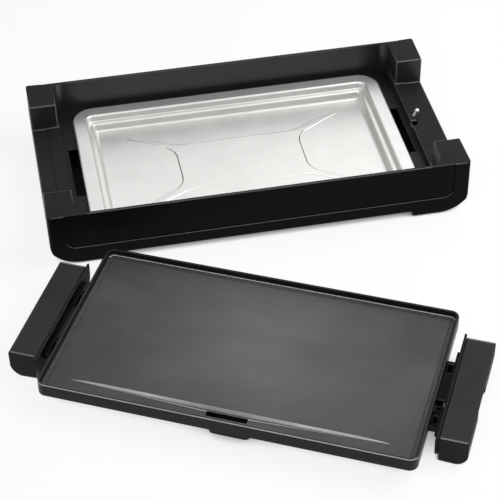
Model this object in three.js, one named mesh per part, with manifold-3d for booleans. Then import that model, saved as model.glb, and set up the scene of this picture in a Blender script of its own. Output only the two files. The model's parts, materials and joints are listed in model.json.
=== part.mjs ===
// Electric griddle, taken apart for cleaning.
// A housing stands at the back with its drip tray in it. The cooking plate, with its element,
// inlet and two handles, stands on the table in front of it, turned a little.
// Millimetres, +Z up. Heights are above the table.

import * as THREE from 'three';
import * as BufferGeometryUtils from 'three/addons/utils/BufferGeometryUtils.js';
import Module from 'manifold-3d';

const wasm = await Module();
wasm.setup();

// ---------------------------------------------------------------- driving dimensions

const FIT = 0.3; // gap between pieces that are fitted together
const BODY_SIDES = 16; // facets round a large cylinder
const SMALL_SIDES = 8; // facets round a screw
const CORNER_STEPS = 5; // facets round a quarter corner
const PAST = 1; // how far a cut runs past a face
const SINK = 0.5; // how far two joined bodies reach into each other
const MOST_OF_HALF = 0.45; // share of a run that a bend may take

// Cooking plate. It stands on its handles, with its rim RIM_HEIGHT above the table.
const PLATE_LENGTH = 458;
const PLATE_WIDTH = 254;
const PLATE_CORNER = 11;
const RIM_HEIGHT = 38;
const RIM_THICKNESS = 3;
const RIM_EDGE = 0.8;
const DISH_DEPTH = 8.5;
const DISH_FILLET = 2;
const PLATE_FLOOR = 5;
const SKIRT_DROP = 4.7; // skirt below the underside of the plate's floor
const SKIRT_THICKNESS = 4;
const GROOVE_INSET = 8.5;
const GROOVE_WIDTH = 1.6;
const GROOVE_DEPTH = 0.9;
const GROOVE_SLOPE = 0.3;
const DISH_DRAFT = 0.5; // rim wall leans in toward the floor

// Drip channel along the front of the plate, falling from both ends to a slot and a spout.
const CHANNEL_LENGTH = 386;
const CHANNEL_WIDTH = 22.5;
const CHANNEL_DEPTH = 7;
const CHANNEL_FLOOR = 3;
const SLOT_LENGTH = 50;
const SLOT_WIDTH = 7;
const SPOUT_WALL = 3;
const SPOUT_FRONT_WALL = 6;
const SPOUT_LEFT = 19; // its mouth, to the left of the slot's middle
const SPOUT_RIGHT = 26; // its mouth, to the right
const SPOUT_CORNER = 7; // at the mouth's left
const SPOUT_SLOPE = 6; // at the mouth's right
const SPOUT_LENGTH = 18; // below the underside of the channel

// Handles, one at each end of the plate.
const HANDLE_LENGTH = 170;
const HANDLE_DEPTH = 35.5;
const HANDLE_HEIGHT = 37;
const HANDLE_GAP = 15.5; // from the plate's end to the grip
const HANDLE_WALL = 4;
const HANDLE_BELLY = 17; // round of the lower outer edge
const HANDLE_EDGE = 2.5;
const HANDLE_INNER_EDGE = 0.5; // smallest round inside the shell
const GUARD_LENGTH = 180;
const GUARD_THICKNESS = 3;
const GUARD_RISE = 1.2; // above the top of the grip
const GUARD_BOTTOM = 8;
const GUARD_EDGE = 5;
const RAIL_LENGTH = 140; // stiffening rail on the guard's inner face
const RAIL_THICKNESS = 4;
const RAIL_BOTTOM = 20.5;
const RAIL_HEIGHT = 6;
const RAIL_EDGE = 2.5;

// Steel arms that carry each handle, two to a side.
const ARM_WIDTH = 29;
const ARM_THICKNESS = 3;
const ARM_SPACING = 29; // from the middle of the plate to an arm's near edge
const ARM_INSET = 23; // under the plate
const ARM_GRIP_REACH = 24; // inside the grip
const RIB_THICKNESS = 3;
const RIB_HEIGHT = 9;
const BOSS_RADIUS = 5;
const ARM_END_MARGIN = 1.5; // from an arm's end to a screw's boss

// Tubular heating element under the plate.
const ELEMENT_RADIUS = 3.5;
const ELEMENT_BEND = 18;
const ELEMENT_END_INSET = 29; // from the plate's end to the outer cross run
const ELEMENT_SIDE_INSET = 55; // from the plate's side to the outer long run
const ELEMENT_PITCH = 44; // outer long run to inner long run
const ELEMENT_RETURN = 79; // from the plate's end to the inner cross run
const ELEMENT_STEPS = 120;
const CLAMP_WIDTH = 10;
const CLAMP_THICKNESS = 1.5;
const CLAMP_BOSS_RADIUS = 3.2;
const CLAMP_BOSS_GAP = 1.3; // from the element to a clamp boss
const CLAMP_SPREAD = 220; // between the clamps of one outer run
const ELEMENT_SIDES = 8; // facets round the tube
const ELEMENT_CLEARANCE = 1; // from the tube to the opening in the skirt

// Inlet for the plug of the heat control, in the right handle.
const INLET_WIDTH = 45.6;
const INLET_TOP = 34;
const INLET_BOTTOM = 11;
const INLET_ROOF = 3; // thickness of the ledge over the tunnel's mouth
const INLET_LUG = 12;
const INLET_LUG_HEIGHT = 3.2;
const PIN_SPACING = 24;
const PIN_RADIUS = 2.4;
const PIN_REACH = 25; // beyond the face of the inlet
const PIN_INSET = 0.7; // from the plate's end to the back of a pin
const INSULATOR_RADIUS = 4.2;
const INSULATOR_STAND = 2; // beyond the face of the inlet
const SOCKET_RADIUS = 5;
const SOCKET_BORE = 3.4;
const SOCKET_LENGTH = 32;
const SOCKET_END = 2; // closed end
const SHROUD_WIDTH = 40;
const SHROUD_HEIGHT = 16;
const SHROUD_BOTTOM = 13.5;
const SHROUD_WALL = 1.2;
const SHROUD_REACH = 26;
const TUNNEL_WIDTH = 50; // opening through the right handle for the plug
const TUNNEL_HEIGHT = 31;
const TUNNEL_WALL = 3;

// Housing.
const AIR_GAP = 18.4; // from the seated plate to the long walls
const BASE_WALL = 4;
const SHELL = 3;
const SHELF_HEIGHT = 43; // seat for the handles
const SHELF_LEAD = 3.5; // seat reaches past the grip's inner face
const SHELF_STEP_WIDTH = 21;
const SHELF_STEP_DEPTH = 1;
const TOWER_SETBACK = 2; // corner towers stand back from the seat's inner edge
const NOTCH_CLEARANCE = 5; // from the guard's end to a tower
const PLAN_CORNER = 4;
const WELL_CORNER = 15;
const END_ROUND_X = 39;
const END_ROUND_Z = 30;
const FOOT_REACH = 79; // from the end to where the housing's lower edge rises
const FOOT_CLEARANCE = 1.5;
const FOOT_SLOPE = 3;
const LONG_EDGE_HEIGHT = 9;
const PANEL_DEPTH = 1.6;
const PANEL_RISE = 0.8; // of the inner panel, from the floor of the outer one
const OUTER_PANEL_INSET = 21;
const OUTER_PANEL_BOTTOM = 26;
const OUTER_PANEL_CORNER = 13;
const INNER_PANEL_INSET = 52;
const INNER_PANEL_BOTTOM = 54;
const INNER_PANEL_CORNER = 18;

// Deck that carries the drip tray, and the cover under it.
const DECK_HEIGHT = 33;
const DECK_THICKNESS = 1.5;
const LEDGE_WIDTH = 6.6;
const LEDGE_THICKNESS = 3;
const DECK_OPENING_WIDTH = 104;
const DECK_STRIP = 5; // deck left between the tray and an end opening
const DECK_MARGIN = 3; // deck left at the ends of the well
const COVER_HEIGHT = 11;
const COVER_THICKNESS = 1.5;
const COVER_SCREWS_SPREAD = 300;
const DECK_SCREWS_SPREAD = 220;
const COVER_BOSS_RADIUS = 4.5;
const COVER_BOSS_MARGIN = 1; // from a boss to the long walls
const SEAT_BOSS_MARGIN = 12.5; // from a boss under a seat to the end wall
const VENT_LENGTH = 60;
const VENT_WIDTH = 5;
const VENT_PITCH = 16;
const VENT_SPACING = 60; // between the two columns
const VENTS = 5;
const RUBBER_RADIUS = 9;
const RUBBER_STEM = 3;
const RUBBER_EDGE = 1;
const RUBBER_BARB = 1.2; // stem's lip over the cover
const RUBBER_TIP = 3;
const RUBBER_INSET_X = 52;
const RUBBER_INSET_Y = 30;

// Screws.
const SCREW_RADIUS = 1.5;
const SCREW_HEAD_RADIUS = 3;
const SCREW_HEAD_HEIGHT = 1.7;
const LUG_SCREW_MARGIN = 1; // from a head to the lug's end
const SCREW_BITE = 4; // thread in a boss
const PILOT_DEPTH = 4.4; // hole in a boss
const CLAMP_SCREW_RADIUS = 1.2;

// Drip tray.
const TRAY_END_GAP = 20.5; // from the flange to the well's ends
const TRAY_SIDE_GAP = 9.9;
const TRAY_CORNER = 29;
const TRAY_SHEET = 1;
const FLANGE_TOP = 38;
const FLANGE_WIDTH = 18;
const FLANGE_EDGE = 1.6;
const UPPER_WALL_DROP = 9;
const UPPER_WALL_RUN = 2.5;
const LEDGE_RUN = 6.5;
const LOWER_WALL_DROP = 10;
const LOWER_WALL_RUN = 3;
const TRAY_FILLET = 1.5;
const TRAY_ROOM = 1.5; // round the pan, in the deck
const BEAD_HEIGHT = 1.2; // stiffening panel pressed into the tray's floor
const BEAD_LENGTH = 310;
const BEAD_WIDTH = 166;
const BEAD_WAIST_LENGTH = 179;
const BEAD_WAIST_WIDTH = 106;
const BEAD_HORN = 5; // half width of a horn at its tip
const BEAD_END_PULL = [0.5, 0.85]; // where an end's curve leaves the waist and bends out
const BEAD_SIDE_PULL = [1.25, 1.1]; // where a side's curve bends in from the horn

// Safety pin on the right seat. It comes up into the plug's opening.
const PIN_HEIGHT = 12;
const PIN_SHANK_RADIUS = 2.2;
const PIN_BALL_RADIUS = 3.2;
const PIN_LEAN = 4; // how far its head leans outward
const PIN_OFFSET_X = 7.5; // from the seat's inner edge
const PIN_OFFSET_Y = 15;
const PIN_NUT_RADIUS = 4.6;
const PIN_NUT_HEIGHT = 3;
const NUT_SIDES = 6;
const PIN_TAIL = 1; // shank below the nut
const PIN_KNEE = 1; // straight shank above the seat
const RELIEF_WIDTH = 10; // notch beside the pin
const RELIEF_DEPTH = 9;
const RELIEF_SINK = 6; // below the seat, through the shell

// Layout on the table.
const LAID_YAW = -27.36 * Math.PI / 180;
const LAID_SHIFT = -61.4;
const LAID_SPACE = 20;

// ---------------------------------------------------------------- sizes that follow

const halfPlateX = PLATE_LENGTH / 2;
const halfPlateY = PLATE_WIDTH / 2;
const cookTop = RIM_HEIGHT - DISH_DEPTH;
const plateUnderside = cookTop - PLATE_FLOOR;
const channelUnderside = cookTop - CHANNEL_DEPTH - CHANNEL_FLOOR;
const skirtBottom = plateUnderside - SKIRT_DROP;

const gripInner = halfPlateX + HANDLE_GAP;
const gripOuter = gripInner + HANDLE_DEPTH;
const guardOuter = gripInner - FIT;
const guardInner = guardOuter - GUARD_THICKNESS;
const railInner = guardInner - RAIL_THICKNESS;

const armTop = skirtBottom - FIT;
const armBottom = armTop - ARM_THICKNESS;
const armMiddle = ARM_SPACING + ARM_WIDTH / 2;
const armStart = halfPlateX - ARM_INSET;
const armEnd = gripInner + ARM_GRIP_REACH;
const plateBossX = armStart + BOSS_RADIUS + ARM_END_MARGIN;
const gripBossX = armEnd - BOSS_RADIUS - ARM_END_MARGIN;

const elementZ = plateUnderside - FIT - ELEMENT_RADIUS;
const elementOuterX = halfPlateX - ELEMENT_END_INSET;
const elementOuterY = halfPlateY - ELEMENT_SIDE_INSET;
const elementInnerX = halfPlateX - ELEMENT_RETURN;
const elementInnerY = elementOuterY - ELEMENT_PITCH;
const elementEnd = halfPlateX - PIN_INSET - FIT;
const clampTop = elementZ - ELEMENT_RADIUS - FIT;
const clampBottom = clampTop - CLAMP_THICKNESS;
const clampBossOffset = ELEMENT_RADIUS + CLAMP_BOSS_GAP + CLAMP_BOSS_RADIUS;

const inletInner = halfPlateX + FIT;
const inletOuter = railInner - FIT;
const shroudInner = inletOuter + FIT;
const shroudOuter = shroudInner + SHROUD_REACH;
const socketZ = plateUnderside - FIT - SOCKET_RADIUS;
const inletMiddle = (inletInner + inletOuter) / 2;
const lugScrewY = INLET_WIDTH / 2 + INLET_LUG - SCREW_HEAD_RADIUS - LUG_SCREW_MARGIN;
const lugTop = skirtBottom + INLET_LUG_HEIGHT;

const baseLength = 2 * gripOuter;
const wellWidth = PLATE_WIDTH + 2 * AIR_GAP;
const baseWidth = wellWidth + 2 * BASE_WALL;
const baseHeight = SHELF_HEIGHT + RIM_HEIGHT;
const seatInner = gripInner - SHELF_LEAD;
const towerInner = seatInner + TOWER_SETBACK;
const notchHalf = GUARD_LENGTH / 2 + NOTCH_CLEARANCE;
const halfBaseX = baseLength / 2;
const halfBaseY = baseWidth / 2;
const ledgeTop = DECK_HEIGHT - DECK_THICKNESS;
const ledgeBottom = ledgeTop - LEDGE_THICKNESS;
const ledgeX = seatInner - LEDGE_WIDTH;
const ledgeY = wellWidth / 2 - LEDGE_WIDTH;
const shelfUnderside = SHELF_HEIGHT - SHELF_STEP_DEPTH - SHELL;
const coverTop = COVER_HEIGHT + COVER_THICKNESS;
const coverScrewY = wellWidth / 2 - COVER_BOSS_RADIUS - COVER_BOSS_MARGIN;
const seatScrewX = halfBaseX - SHELL - SEAT_BOSS_MARGIN - COVER_BOSS_RADIUS;
const rubberX = halfBaseX - RUBBER_INSET_X;
const rubberY = halfBaseY - RUBBER_INSET_Y;

const trayLength = 2 * (seatInner - TRAY_END_GAP);
const trayWidth = wellWidth - 2 * TRAY_SIDE_GAP;
const flangeFoot = DECK_HEIGHT + FIT;
const trayFloor = FLANGE_TOP - UPPER_WALL_DROP - LOWER_WALL_DROP - TRAY_FILLET;
const panInset = FLANGE_WIDTH - TRAY_SHEET;

// ---------------------------------------------------------------- building blocks

function solid(geometry) {
  const bare = geometry.index ? geometry.toNonIndexed() : geometry.clone();
  bare.deleteAttribute('normal');
  bare.deleteAttribute('uv');
  const merged = BufferGeometryUtils.mergeVertices(bare, 1e-4);
  return new wasm.Manifold(new wasm.Mesh({
    numProp: 3,
    vertProperties: new Float32Array(merged.attributes.position.array),
    triVerts: new Uint32Array(merged.index.array),
  }));
}

function geometryOf(body) {
  const mesh = body.getMesh();
  const geometry = new THREE.BufferGeometry();
  geometry.setAttribute('position', new THREE.BufferAttribute(new Float32Array(mesh.vertProperties), 3));
  geometry.setIndex(new THREE.BufferAttribute(new Uint32Array(mesh.triVerts), 1));
  return geometry;
}

function join(...bodies) {
  return bodies.reduce((whole, body) => whole.add(body));
}

function cut(body, ...tools) {
  return tools.reduce((whole, tool) => whole.subtract(tool), body);
}

// A box from one corner to the other.
function box(x0, x1, y0, y1, z0, z1) {
  const geometry = new THREE.BoxGeometry(x1 - x0, y1 - y0, z1 - z0);
  geometry.translate((x0 + x1) / 2, (y0 + y1) / 2, (z0 + z1) / 2);
  return solid(geometry);
}

function upright(radius, z0, z1, x, y, sides = SMALL_SIDES) {
  const geometry = new THREE.CylinderGeometry(radius, radius, z1 - z0, sides);
  geometry.rotateX(Math.PI / 2);
  geometry.translate(x, y, (z0 + z1) / 2);
  return solid(geometry);
}

// A cylinder along X.
function lengthwise(radius, x0, x1, y, z, sides = BODY_SIDES) {
  const geometry = new THREE.CylinderGeometry(radius, radius, x1 - x0, sides);
  geometry.rotateZ(Math.PI / 2);
  geometry.translate((x0 + x1) / 2, y, z);
  return solid(geometry);
}

function roundedRectangle(length, width, radius) {
  const x = length / 2;
  const y = width / 2;
  const shape = new THREE.Shape();
  shape.moveTo(x, -y + radius);
  shape.absarc(x - radius, y - radius, radius, 0, Math.PI / 2);
  shape.absarc(-x + radius, y - radius, radius, Math.PI / 2, Math.PI);
  shape.absarc(-x + radius, -y + radius, radius, Math.PI, 1.5 * Math.PI);
  shape.absarc(x - radius, -y + radius, radius, 1.5 * Math.PI, 2 * Math.PI);
  return shape;
}

function extruded(shape, depth) {
  return new THREE.ExtrudeGeometry(shape, { depth, bevelEnabled: false, curveSegments: CORNER_STEPS });
}

// A shape drawn in XY, standing from z0 to z1.
function standing(shape, z0, z1) {
  return solid(extruded(shape, z1 - z0).translate(0, 0, z0));
}

// A shape drawn in XZ, running from y0 to y1.
function crosswise(shape, y0, y1) {
  return solid(extruded(shape, y1 - y0).rotateX(Math.PI / 2).translate(0, y1, 0));
}

// A shape drawn in YZ, running from x0 to x1.
function endwise(shape, x0, x1) {
  const turn = new THREE.Matrix4().makeBasis(
    new THREE.Vector3(0, 1, 0), new THREE.Vector3(0, 0, 1), new THREE.Vector3(1, 0, 0));
  return solid(extruded(shape, x1 - x0).applyMatrix4(turn).translate(x0, 0, 0));
}

// The same body at the other end of the object.
function mirrored(body) {
  return body.mirror([1, 0, 0]);
}

function onBothEnds(body) {
  return join(body, mirrored(body));
}

// One ring of a rounded rectangle, counter-clockwise seen from above.
function ring(length, width, radius, inset, z) {
  const x = length / 2 - inset;
  const y = width / 2 - inset;
  const bend = Math.max(radius - inset, 1);
  const points = [];
  [[1, 1], [-1, 1], [-1, -1], [1, -1]].forEach(([sx, sy], corner) => {
    for (let step = 0; step <= CORNER_STEPS; step += 1) {
      const angle = (corner + step / CORNER_STEPS) * Math.PI / 2;
      points.push(sx * (x - bend) + bend * Math.cos(angle), sy * (y - bend) + bend * Math.sin(angle), z);
    }
  });
  return points;
}

// A dished sheet. Its section runs from the middle of its top face, over the rim, to the middle
// of its underside, as pairs of inset from the outline and height.
function dish(length, width, radius, section) {
  const rings = section.map(([inset, z]) => ring(length, width, radius, inset, z));
  const around = rings[0].length / 3;
  const faces = [];
  for (let level = 0; level + 1 < rings.length; level += 1) {
    for (let i = 0; i < around; i += 1) {
      const a = level * around + i;
      const b = level * around + (i + 1) % around;
      faces.push(a, a + around, b, b, a + around, b + around);
    }
  }
  const last = (rings.length - 1) * around;
  for (let i = 1; i + 1 < around; i += 1) {
    faces.push(0, i, i + 1);
    faces.push(last, last + i + 1, last + i);
  }
  const geometry = new THREE.BufferGeometry();
  geometry.setAttribute('position', new THREE.Float32BufferAttribute(rings.flat(), 3));
  geometry.setIndex(faces);
  return solid(geometry);
}

// A pan head screw that stands head down, with its head under the height z.
function screw(x, y, z, length, radius = SCREW_RADIUS, headRadius = SCREW_HEAD_RADIUS) {
  return join(
    upright(headRadius, z - SCREW_HEAD_HEIGHT, z, x, y),
    upright(radius, z - SINK, z + length, x, y));
}

// A point on the way from a corner to the next one, no further than just short of halfway.
function toward(corner, next, distance) {
  const way = next.clone().sub(corner);
  return way.setLength(Math.min(distance, way.length() * MOST_OF_HALF)).add(corner);
}

// A bent tube through the corners of a route.
function bentTube(corners, bend, radius, sides, steps) {
  const path = new THREE.CurvePath();
  let from = corners[0];
  for (let i = 1; i + 1 < corners.length; i += 1) {
    const into = toward(corners[i], corners[i - 1], bend);
    const out = toward(corners[i], corners[i + 1], bend);
    path.add(new THREE.LineCurve3(from, into));
    path.add(new THREE.QuadraticBezierCurve3(into, corners[i], out));
    from = out;
  }
  path.add(new THREE.LineCurve3(from, corners[corners.length - 1]));
  const section = new THREE.Shape();
  section.absarc(0, 0, radius, 0, 2 * Math.PI);
  return new THREE.ExtrudeGeometry(section, {
    steps, extrudePath: path, bevelEnabled: false, curveSegments: sides / 2,
  });
}

// ---------------------------------------------------------------- materials

function material(color, roughness, metalness) {
  return new THREE.MeshStandardMaterial({ color, roughness, metalness });
}

const blackPlastic = () => material(0x242423, 0.45, 0);
const handlePlastic = () => material(0x353333, 0.6, 0);
const guardPlastic = () => material(0x2c2b2b, 0.55, 0);
const nonStick = () => material(0x545252, 0.5, 0.25);
const traySteel = () => material(0xd2d1cc, 0.32, 0.85);
const darkSteel = () => material(0x2b2b2b, 0.5, 0.6);
const brightSteel = () => material(0xc9c7c4, 0.25, 0.9);
const elementSteel = () => material(0x77736c, 0.45, 0.7);
const rubber = () => material(0x1c1c1c, 0.85, 0);
const ceramic = () => material(0xe8e3d6, 0.4, 0);

// ---------------------------------------------------------------- housing

// The housing's outline from the front, with its two lower ends round. The given points run from
// left to right along its bottom.
function roundEnded(halfLength, top, bottom) {
  const roundX = halfLength - END_ROUND_X;
  const roundZ = FOOT_CLEARANCE + END_ROUND_Z;
  const shape = new THREE.Shape();
  shape.moveTo(...bottom[0]);
  bottom.slice(1).forEach(([x, z]) => shape.lineTo(x, z));
  shape.absellipse(roundX, roundZ, END_ROUND_X, END_ROUND_Z, 1.5 * Math.PI, 2 * Math.PI);
  shape.lineTo(halfLength, top);
  shape.lineTo(-halfLength, top);
  shape.absellipse(-roundX, roundZ, END_ROUND_X, END_ROUND_Z, Math.PI, 1.5 * Math.PI);
  return shape;
}

function housingBlock() {
  const footX = halfBaseX - FOOT_REACH;
  const outline = roundEnded(halfBaseX, baseHeight, [
    [-footX - FOOT_SLOPE, FOOT_CLEARANCE], [-footX, LONG_EDGE_HEIGHT],
    [footX, LONG_EDGE_HEIGHT], [footX + FOOT_SLOPE, FOOT_CLEARANCE],
  ]);
  const plan = standing(roundedRectangle(baseLength, baseWidth, PLAN_CORNER), 0, baseHeight);
  return crosswise(outline, -halfBaseY, halfBaseY).intersect(plan);
}

// What is hollow under the seats and the towers. It is open at the bottom.
function housingHollow() {
  const inside = standing(
    roundedRectangle(baseLength - 2 * SHELL, wellWidth, PLAN_CORNER - SHELL), -PAST, baseHeight - SHELL);
  const reach = halfBaseX - SHELL;
  const outline = roundEnded(reach, baseHeight, [
    [END_ROUND_X - reach, -PAST], [reach - END_ROUND_X, -PAST], [reach - END_ROUND_X, FOOT_CLEARANCE],
  ]);
  const room = inside.intersect(crosswise(outline, -halfBaseY, halfBaseY));
  const underSeat = box(seatInner + SHELL, halfBaseX, -halfBaseY, halfBaseY, -PAST, shelfUnderside);
  const towers = [-1, 1].map((side) => {
    const near = side * (notchHalf + SHELL);
    const far = side * halfBaseY;
    return box(towerInner + SHELL, halfBaseX, Math.min(near, far), Math.max(near, far),
      -PAST, baseHeight - SHELL);
  });
  const ledgeReach = seatInner + SHELL + PAST;
  const underLedge = box(-ledgeReach, ledgeReach, -halfBaseY, halfBaseY, -PAST, ledgeBottom);
  return room.intersect(join(onBothEnds(join(underSeat, ...towers)), underLedge));
}

// The open well between the walls and, above the seats, between the towers.
function housingWell() {
  const shaft = standing(
    roundedRectangle(2 * seatInner, wellWidth, WELL_CORNER), ledgeTop, baseHeight + PAST);
  const between = standing(
    roundedRectangle(2 * towerInner, wellWidth, WELL_CORNER), SHELF_HEIGHT, baseHeight + PAST);
  const throughLedge = standing(
    roundedRectangle(2 * ledgeX, 2 * ledgeY, WELL_CORNER), -PAST, baseHeight);
  const notch = box(seatInner - PAST, halfBaseX + PAST, -notchHalf, notchHalf,
    SHELF_HEIGHT, baseHeight + PAST);
  const step = box(halfBaseX - SHELF_STEP_WIDTH, halfBaseX + PAST, -notchHalf, notchHalf,
    SHELF_HEIGHT - SHELF_STEP_DEPTH, baseHeight);
  return join(shaft, between, throughLedge, onBothEnds(join(notch, step)));
}

// A shallow recess in each long face, with a panel raised in it. Both run out at the top.
function facePanels() {
  const tall = baseHeight + OUTER_PANEL_CORNER;
  const panel = (inset, bottom, radius, start, end) => {
    const shape = roundedRectangle(baseLength - 2 * inset, tall, radius);
    return crosswise(shape, start, end).translate([0, 0, bottom + tall / 2]);
  };
  const floor = -halfBaseY + PANEL_DEPTH;
  const recess = panel(
    OUTER_PANEL_INSET, OUTER_PANEL_BOTTOM, OUTER_PANEL_CORNER, -halfBaseY - PAST, floor);
  const raised = panel(
    INNER_PANEL_INSET, INNER_PANEL_BOTTOM, INNER_PANEL_CORNER, floor - PANEL_RISE, floor + PAST);
  const front = cut(recess, raised);
  return join(front, front.mirror([0, 1, 0]));
}

// The four places at plus and minus x and y.
function fourPlaces(x, y) {
  return [[-x, -y], [x, -y], [-x, y], [x, y]];
}

function coverScrewPlaces() {
  return [...fourPlaces(COVER_SCREWS_SPREAD / 2, coverScrewY), [-seatScrewX, 0], [seatScrewX, 0]];
}

function deckScrewPlaces() {
  return fourPlaces(DECK_SCREWS_SPREAD / 2, ledgeY + LEDGE_WIDTH / 2);
}

function coverBosses() {
  const holes = [];
  const bosses = coverScrewPlaces().map(([x, y]) => {
    const top = (Math.abs(x) > seatInner ? shelfUnderside : ledgeBottom) + SINK;
    holes.push(upright(SCREW_RADIUS + FIT, coverTop - PAST, coverTop + PILOT_DEPTH, x, y));
    return upright(COVER_BOSS_RADIUS, coverTop, top, x, y);
  });
  return cut(join(...bosses), ...holes);
}

// The safety pin's hole through the right seat, and the relief beside it.
function seatOpenings() {
  const hole = upright(PIN_SHANK_RADIUS + FIT, shelfUnderside - PAST, SHELF_HEIGHT + PAST,
    seatInner + PIN_OFFSET_X, PIN_OFFSET_Y);
  const relief = box(seatInner - PAST, seatInner + RELIEF_DEPTH, -RELIEF_WIDTH / 2, RELIEF_WIDTH / 2,
    SHELF_HEIGHT - RELIEF_SINK, SHELF_HEIGHT + PAST);
  return join(hole, relief);
}

function baseHousing() {
  const deckHoles = deckScrewPlaces().map(([x, y]) => (
    upright(SCREW_RADIUS + FIT, ledgeBottom - PAST, ledgeTop + PAST, x, y)));
  const body = cut(housingBlock(), housingHollow(), housingWell(), facePanels(), seatOpenings());
  return cut(join(body, coverBosses()), ...deckHoles);
}

function heatDeck() {
  const sheet = standing(
    roundedRectangle(2 * (seatInner - FIT), wellWidth - 2 * FIT, WELL_CORNER), ledgeTop, DECK_HEIGHT);
  const panHalfX = trayLength / 2 - panInset + TRAY_ROOM;
  const panHalfY = trayWidth / 2 - panInset + TRAY_ROOM;
  const panShape = roundedRectangle(2 * panHalfX, 2 * panHalfY, TRAY_CORNER - panInset + TRAY_ROOM);
  const pan = standing(panShape, ledgeTop - PAST, DECK_HEIGHT + PAST);
  const opening = box(panHalfX + DECK_STRIP, seatInner - DECK_MARGIN,
    -DECK_OPENING_WIDTH / 2, DECK_OPENING_WIDTH / 2, ledgeTop - PAST, DECK_HEIGHT + PAST);
  const holes = deckScrewPlaces().map(([x, y]) => (
    upright(SCREW_RADIUS + FIT, ledgeTop - PAST, DECK_HEIGHT + PAST, x, y)));
  return cut(sheet, pan, onBothEnds(opening), ...holes);
}

function bottomCover() {
  const reach = halfBaseX - END_ROUND_X + 2 * COVER_BOSS_RADIUS;
  const sheet = standing(
    roundedRectangle(2 * reach, wellWidth - 2 * FIT, PLAN_CORNER), COVER_HEIGHT, coverTop);
  const vents = [];
  for (let row = 0; row < VENTS; row += 1) {
    const y = (row - (VENTS - 1) / 2) * VENT_PITCH;
    const vent = box(VENT_SPACING / 2, VENT_SPACING / 2 + VENT_LENGTH,
      y - VENT_WIDTH / 2, y + VENT_WIDTH / 2, COVER_HEIGHT - PAST, coverTop + PAST);
    vents.push(onBothEnds(vent));
  }
  const holes = coverScrewPlaces().map(([x, y]) => (
    upright(SCREW_RADIUS + FIT, COVER_HEIGHT - PAST, coverTop + PAST, x, y)));
  const stems = fourPlaces(rubberX, rubberY).map(([x, y]) => (
    upright(RUBBER_STEM + FIT, COVER_HEIGHT - PAST, coverTop + PAST, x, y, BODY_SIDES)));
  return cut(sheet, ...vents, ...holes, ...stems);
}

// A turned rubber foot with a stem that snaps through the cover.
function rubberFoot() {
  const barb = coverTop + FIT;
  const tip = coverTop + RUBBER_TIP;
  const profile = [
    [0, 0], [RUBBER_RADIUS - RUBBER_EDGE, 0], [RUBBER_RADIUS, RUBBER_EDGE],
    [RUBBER_RADIUS - RUBBER_EDGE, COVER_HEIGHT], [RUBBER_STEM, COVER_HEIGHT],
    [RUBBER_STEM, barb], [RUBBER_STEM + RUBBER_BARB, barb], [RUBBER_STEM / 2, tip], [0, tip],
  ];
  return solid(lathe(profile, BODY_SIDES));
}

function lathe(profile, sides) {
  const points = profile.map(([radius, z]) => new THREE.Vector2(radius, z));
  return new THREE.LatheGeometry(points, sides).rotateX(Math.PI / 2);
}

function coverScrews() {
  return coverScrewPlaces().map(([x, y]) => screw(x, y, COVER_HEIGHT, COVER_THICKNESS + SCREW_BITE));
}

function deckScrews() {
  return deckScrewPlaces().map(([x, y]) => screw(x, y, ledgeBottom, LEDGE_THICKNESS + DECK_THICKNESS));
}

// The pin's shank stands in the seat, then leans outward to its ball.
function safetyPin() {
  const root = SHELF_HEIGHT + PIN_KNEE;
  const ballZ = SHELF_HEIGHT + PIN_HEIGHT - PIN_BALL_RADIUS;
  const rise = ballZ - root;
  const lean = Math.atan2(PIN_LEAN, rise);
  const straight = upright(PIN_SHANK_RADIUS, shelfUnderside - PIN_NUT_HEIGHT - PIN_TAIL, root, 0, 0);
  const leaning = solid(new THREE.CylinderGeometry(
    PIN_SHANK_RADIUS, PIN_SHANK_RADIUS, Math.hypot(rise, PIN_LEAN), SMALL_SIDES)
    .rotateX(Math.PI / 2).rotateY(lean).translate(PIN_LEAN / 2, 0, (root + ballZ) / 2));
  const knee = solid(new THREE.SphereGeometry(PIN_SHANK_RADIUS, SMALL_SIDES, SMALL_SIDES / 2)
    .translate(0, 0, root));
  const ball = solid(new THREE.SphereGeometry(PIN_BALL_RADIUS, SMALL_SIDES, SMALL_SIDES / 2)
    .translate(PIN_LEAN, 0, ballZ));
  return join(straight, knee, leaning, ball).translate([seatInner + PIN_OFFSET_X, PIN_OFFSET_Y, 0]);
}

function safetyPinNut() {
  const x = seatInner + PIN_OFFSET_X;
  const top = shelfUnderside;
  const hexagon = upright(PIN_NUT_RADIUS, top - PIN_NUT_HEIGHT, top, x, PIN_OFFSET_Y, NUT_SIDES);
  const bore = upright(PIN_SHANK_RADIUS + FIT, top - PIN_NUT_HEIGHT - PAST, top + PAST, x, PIN_OFFSET_Y);
  return cut(hexagon, bore);
}

// ---------------------------------------------------------------- drip tray

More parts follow.
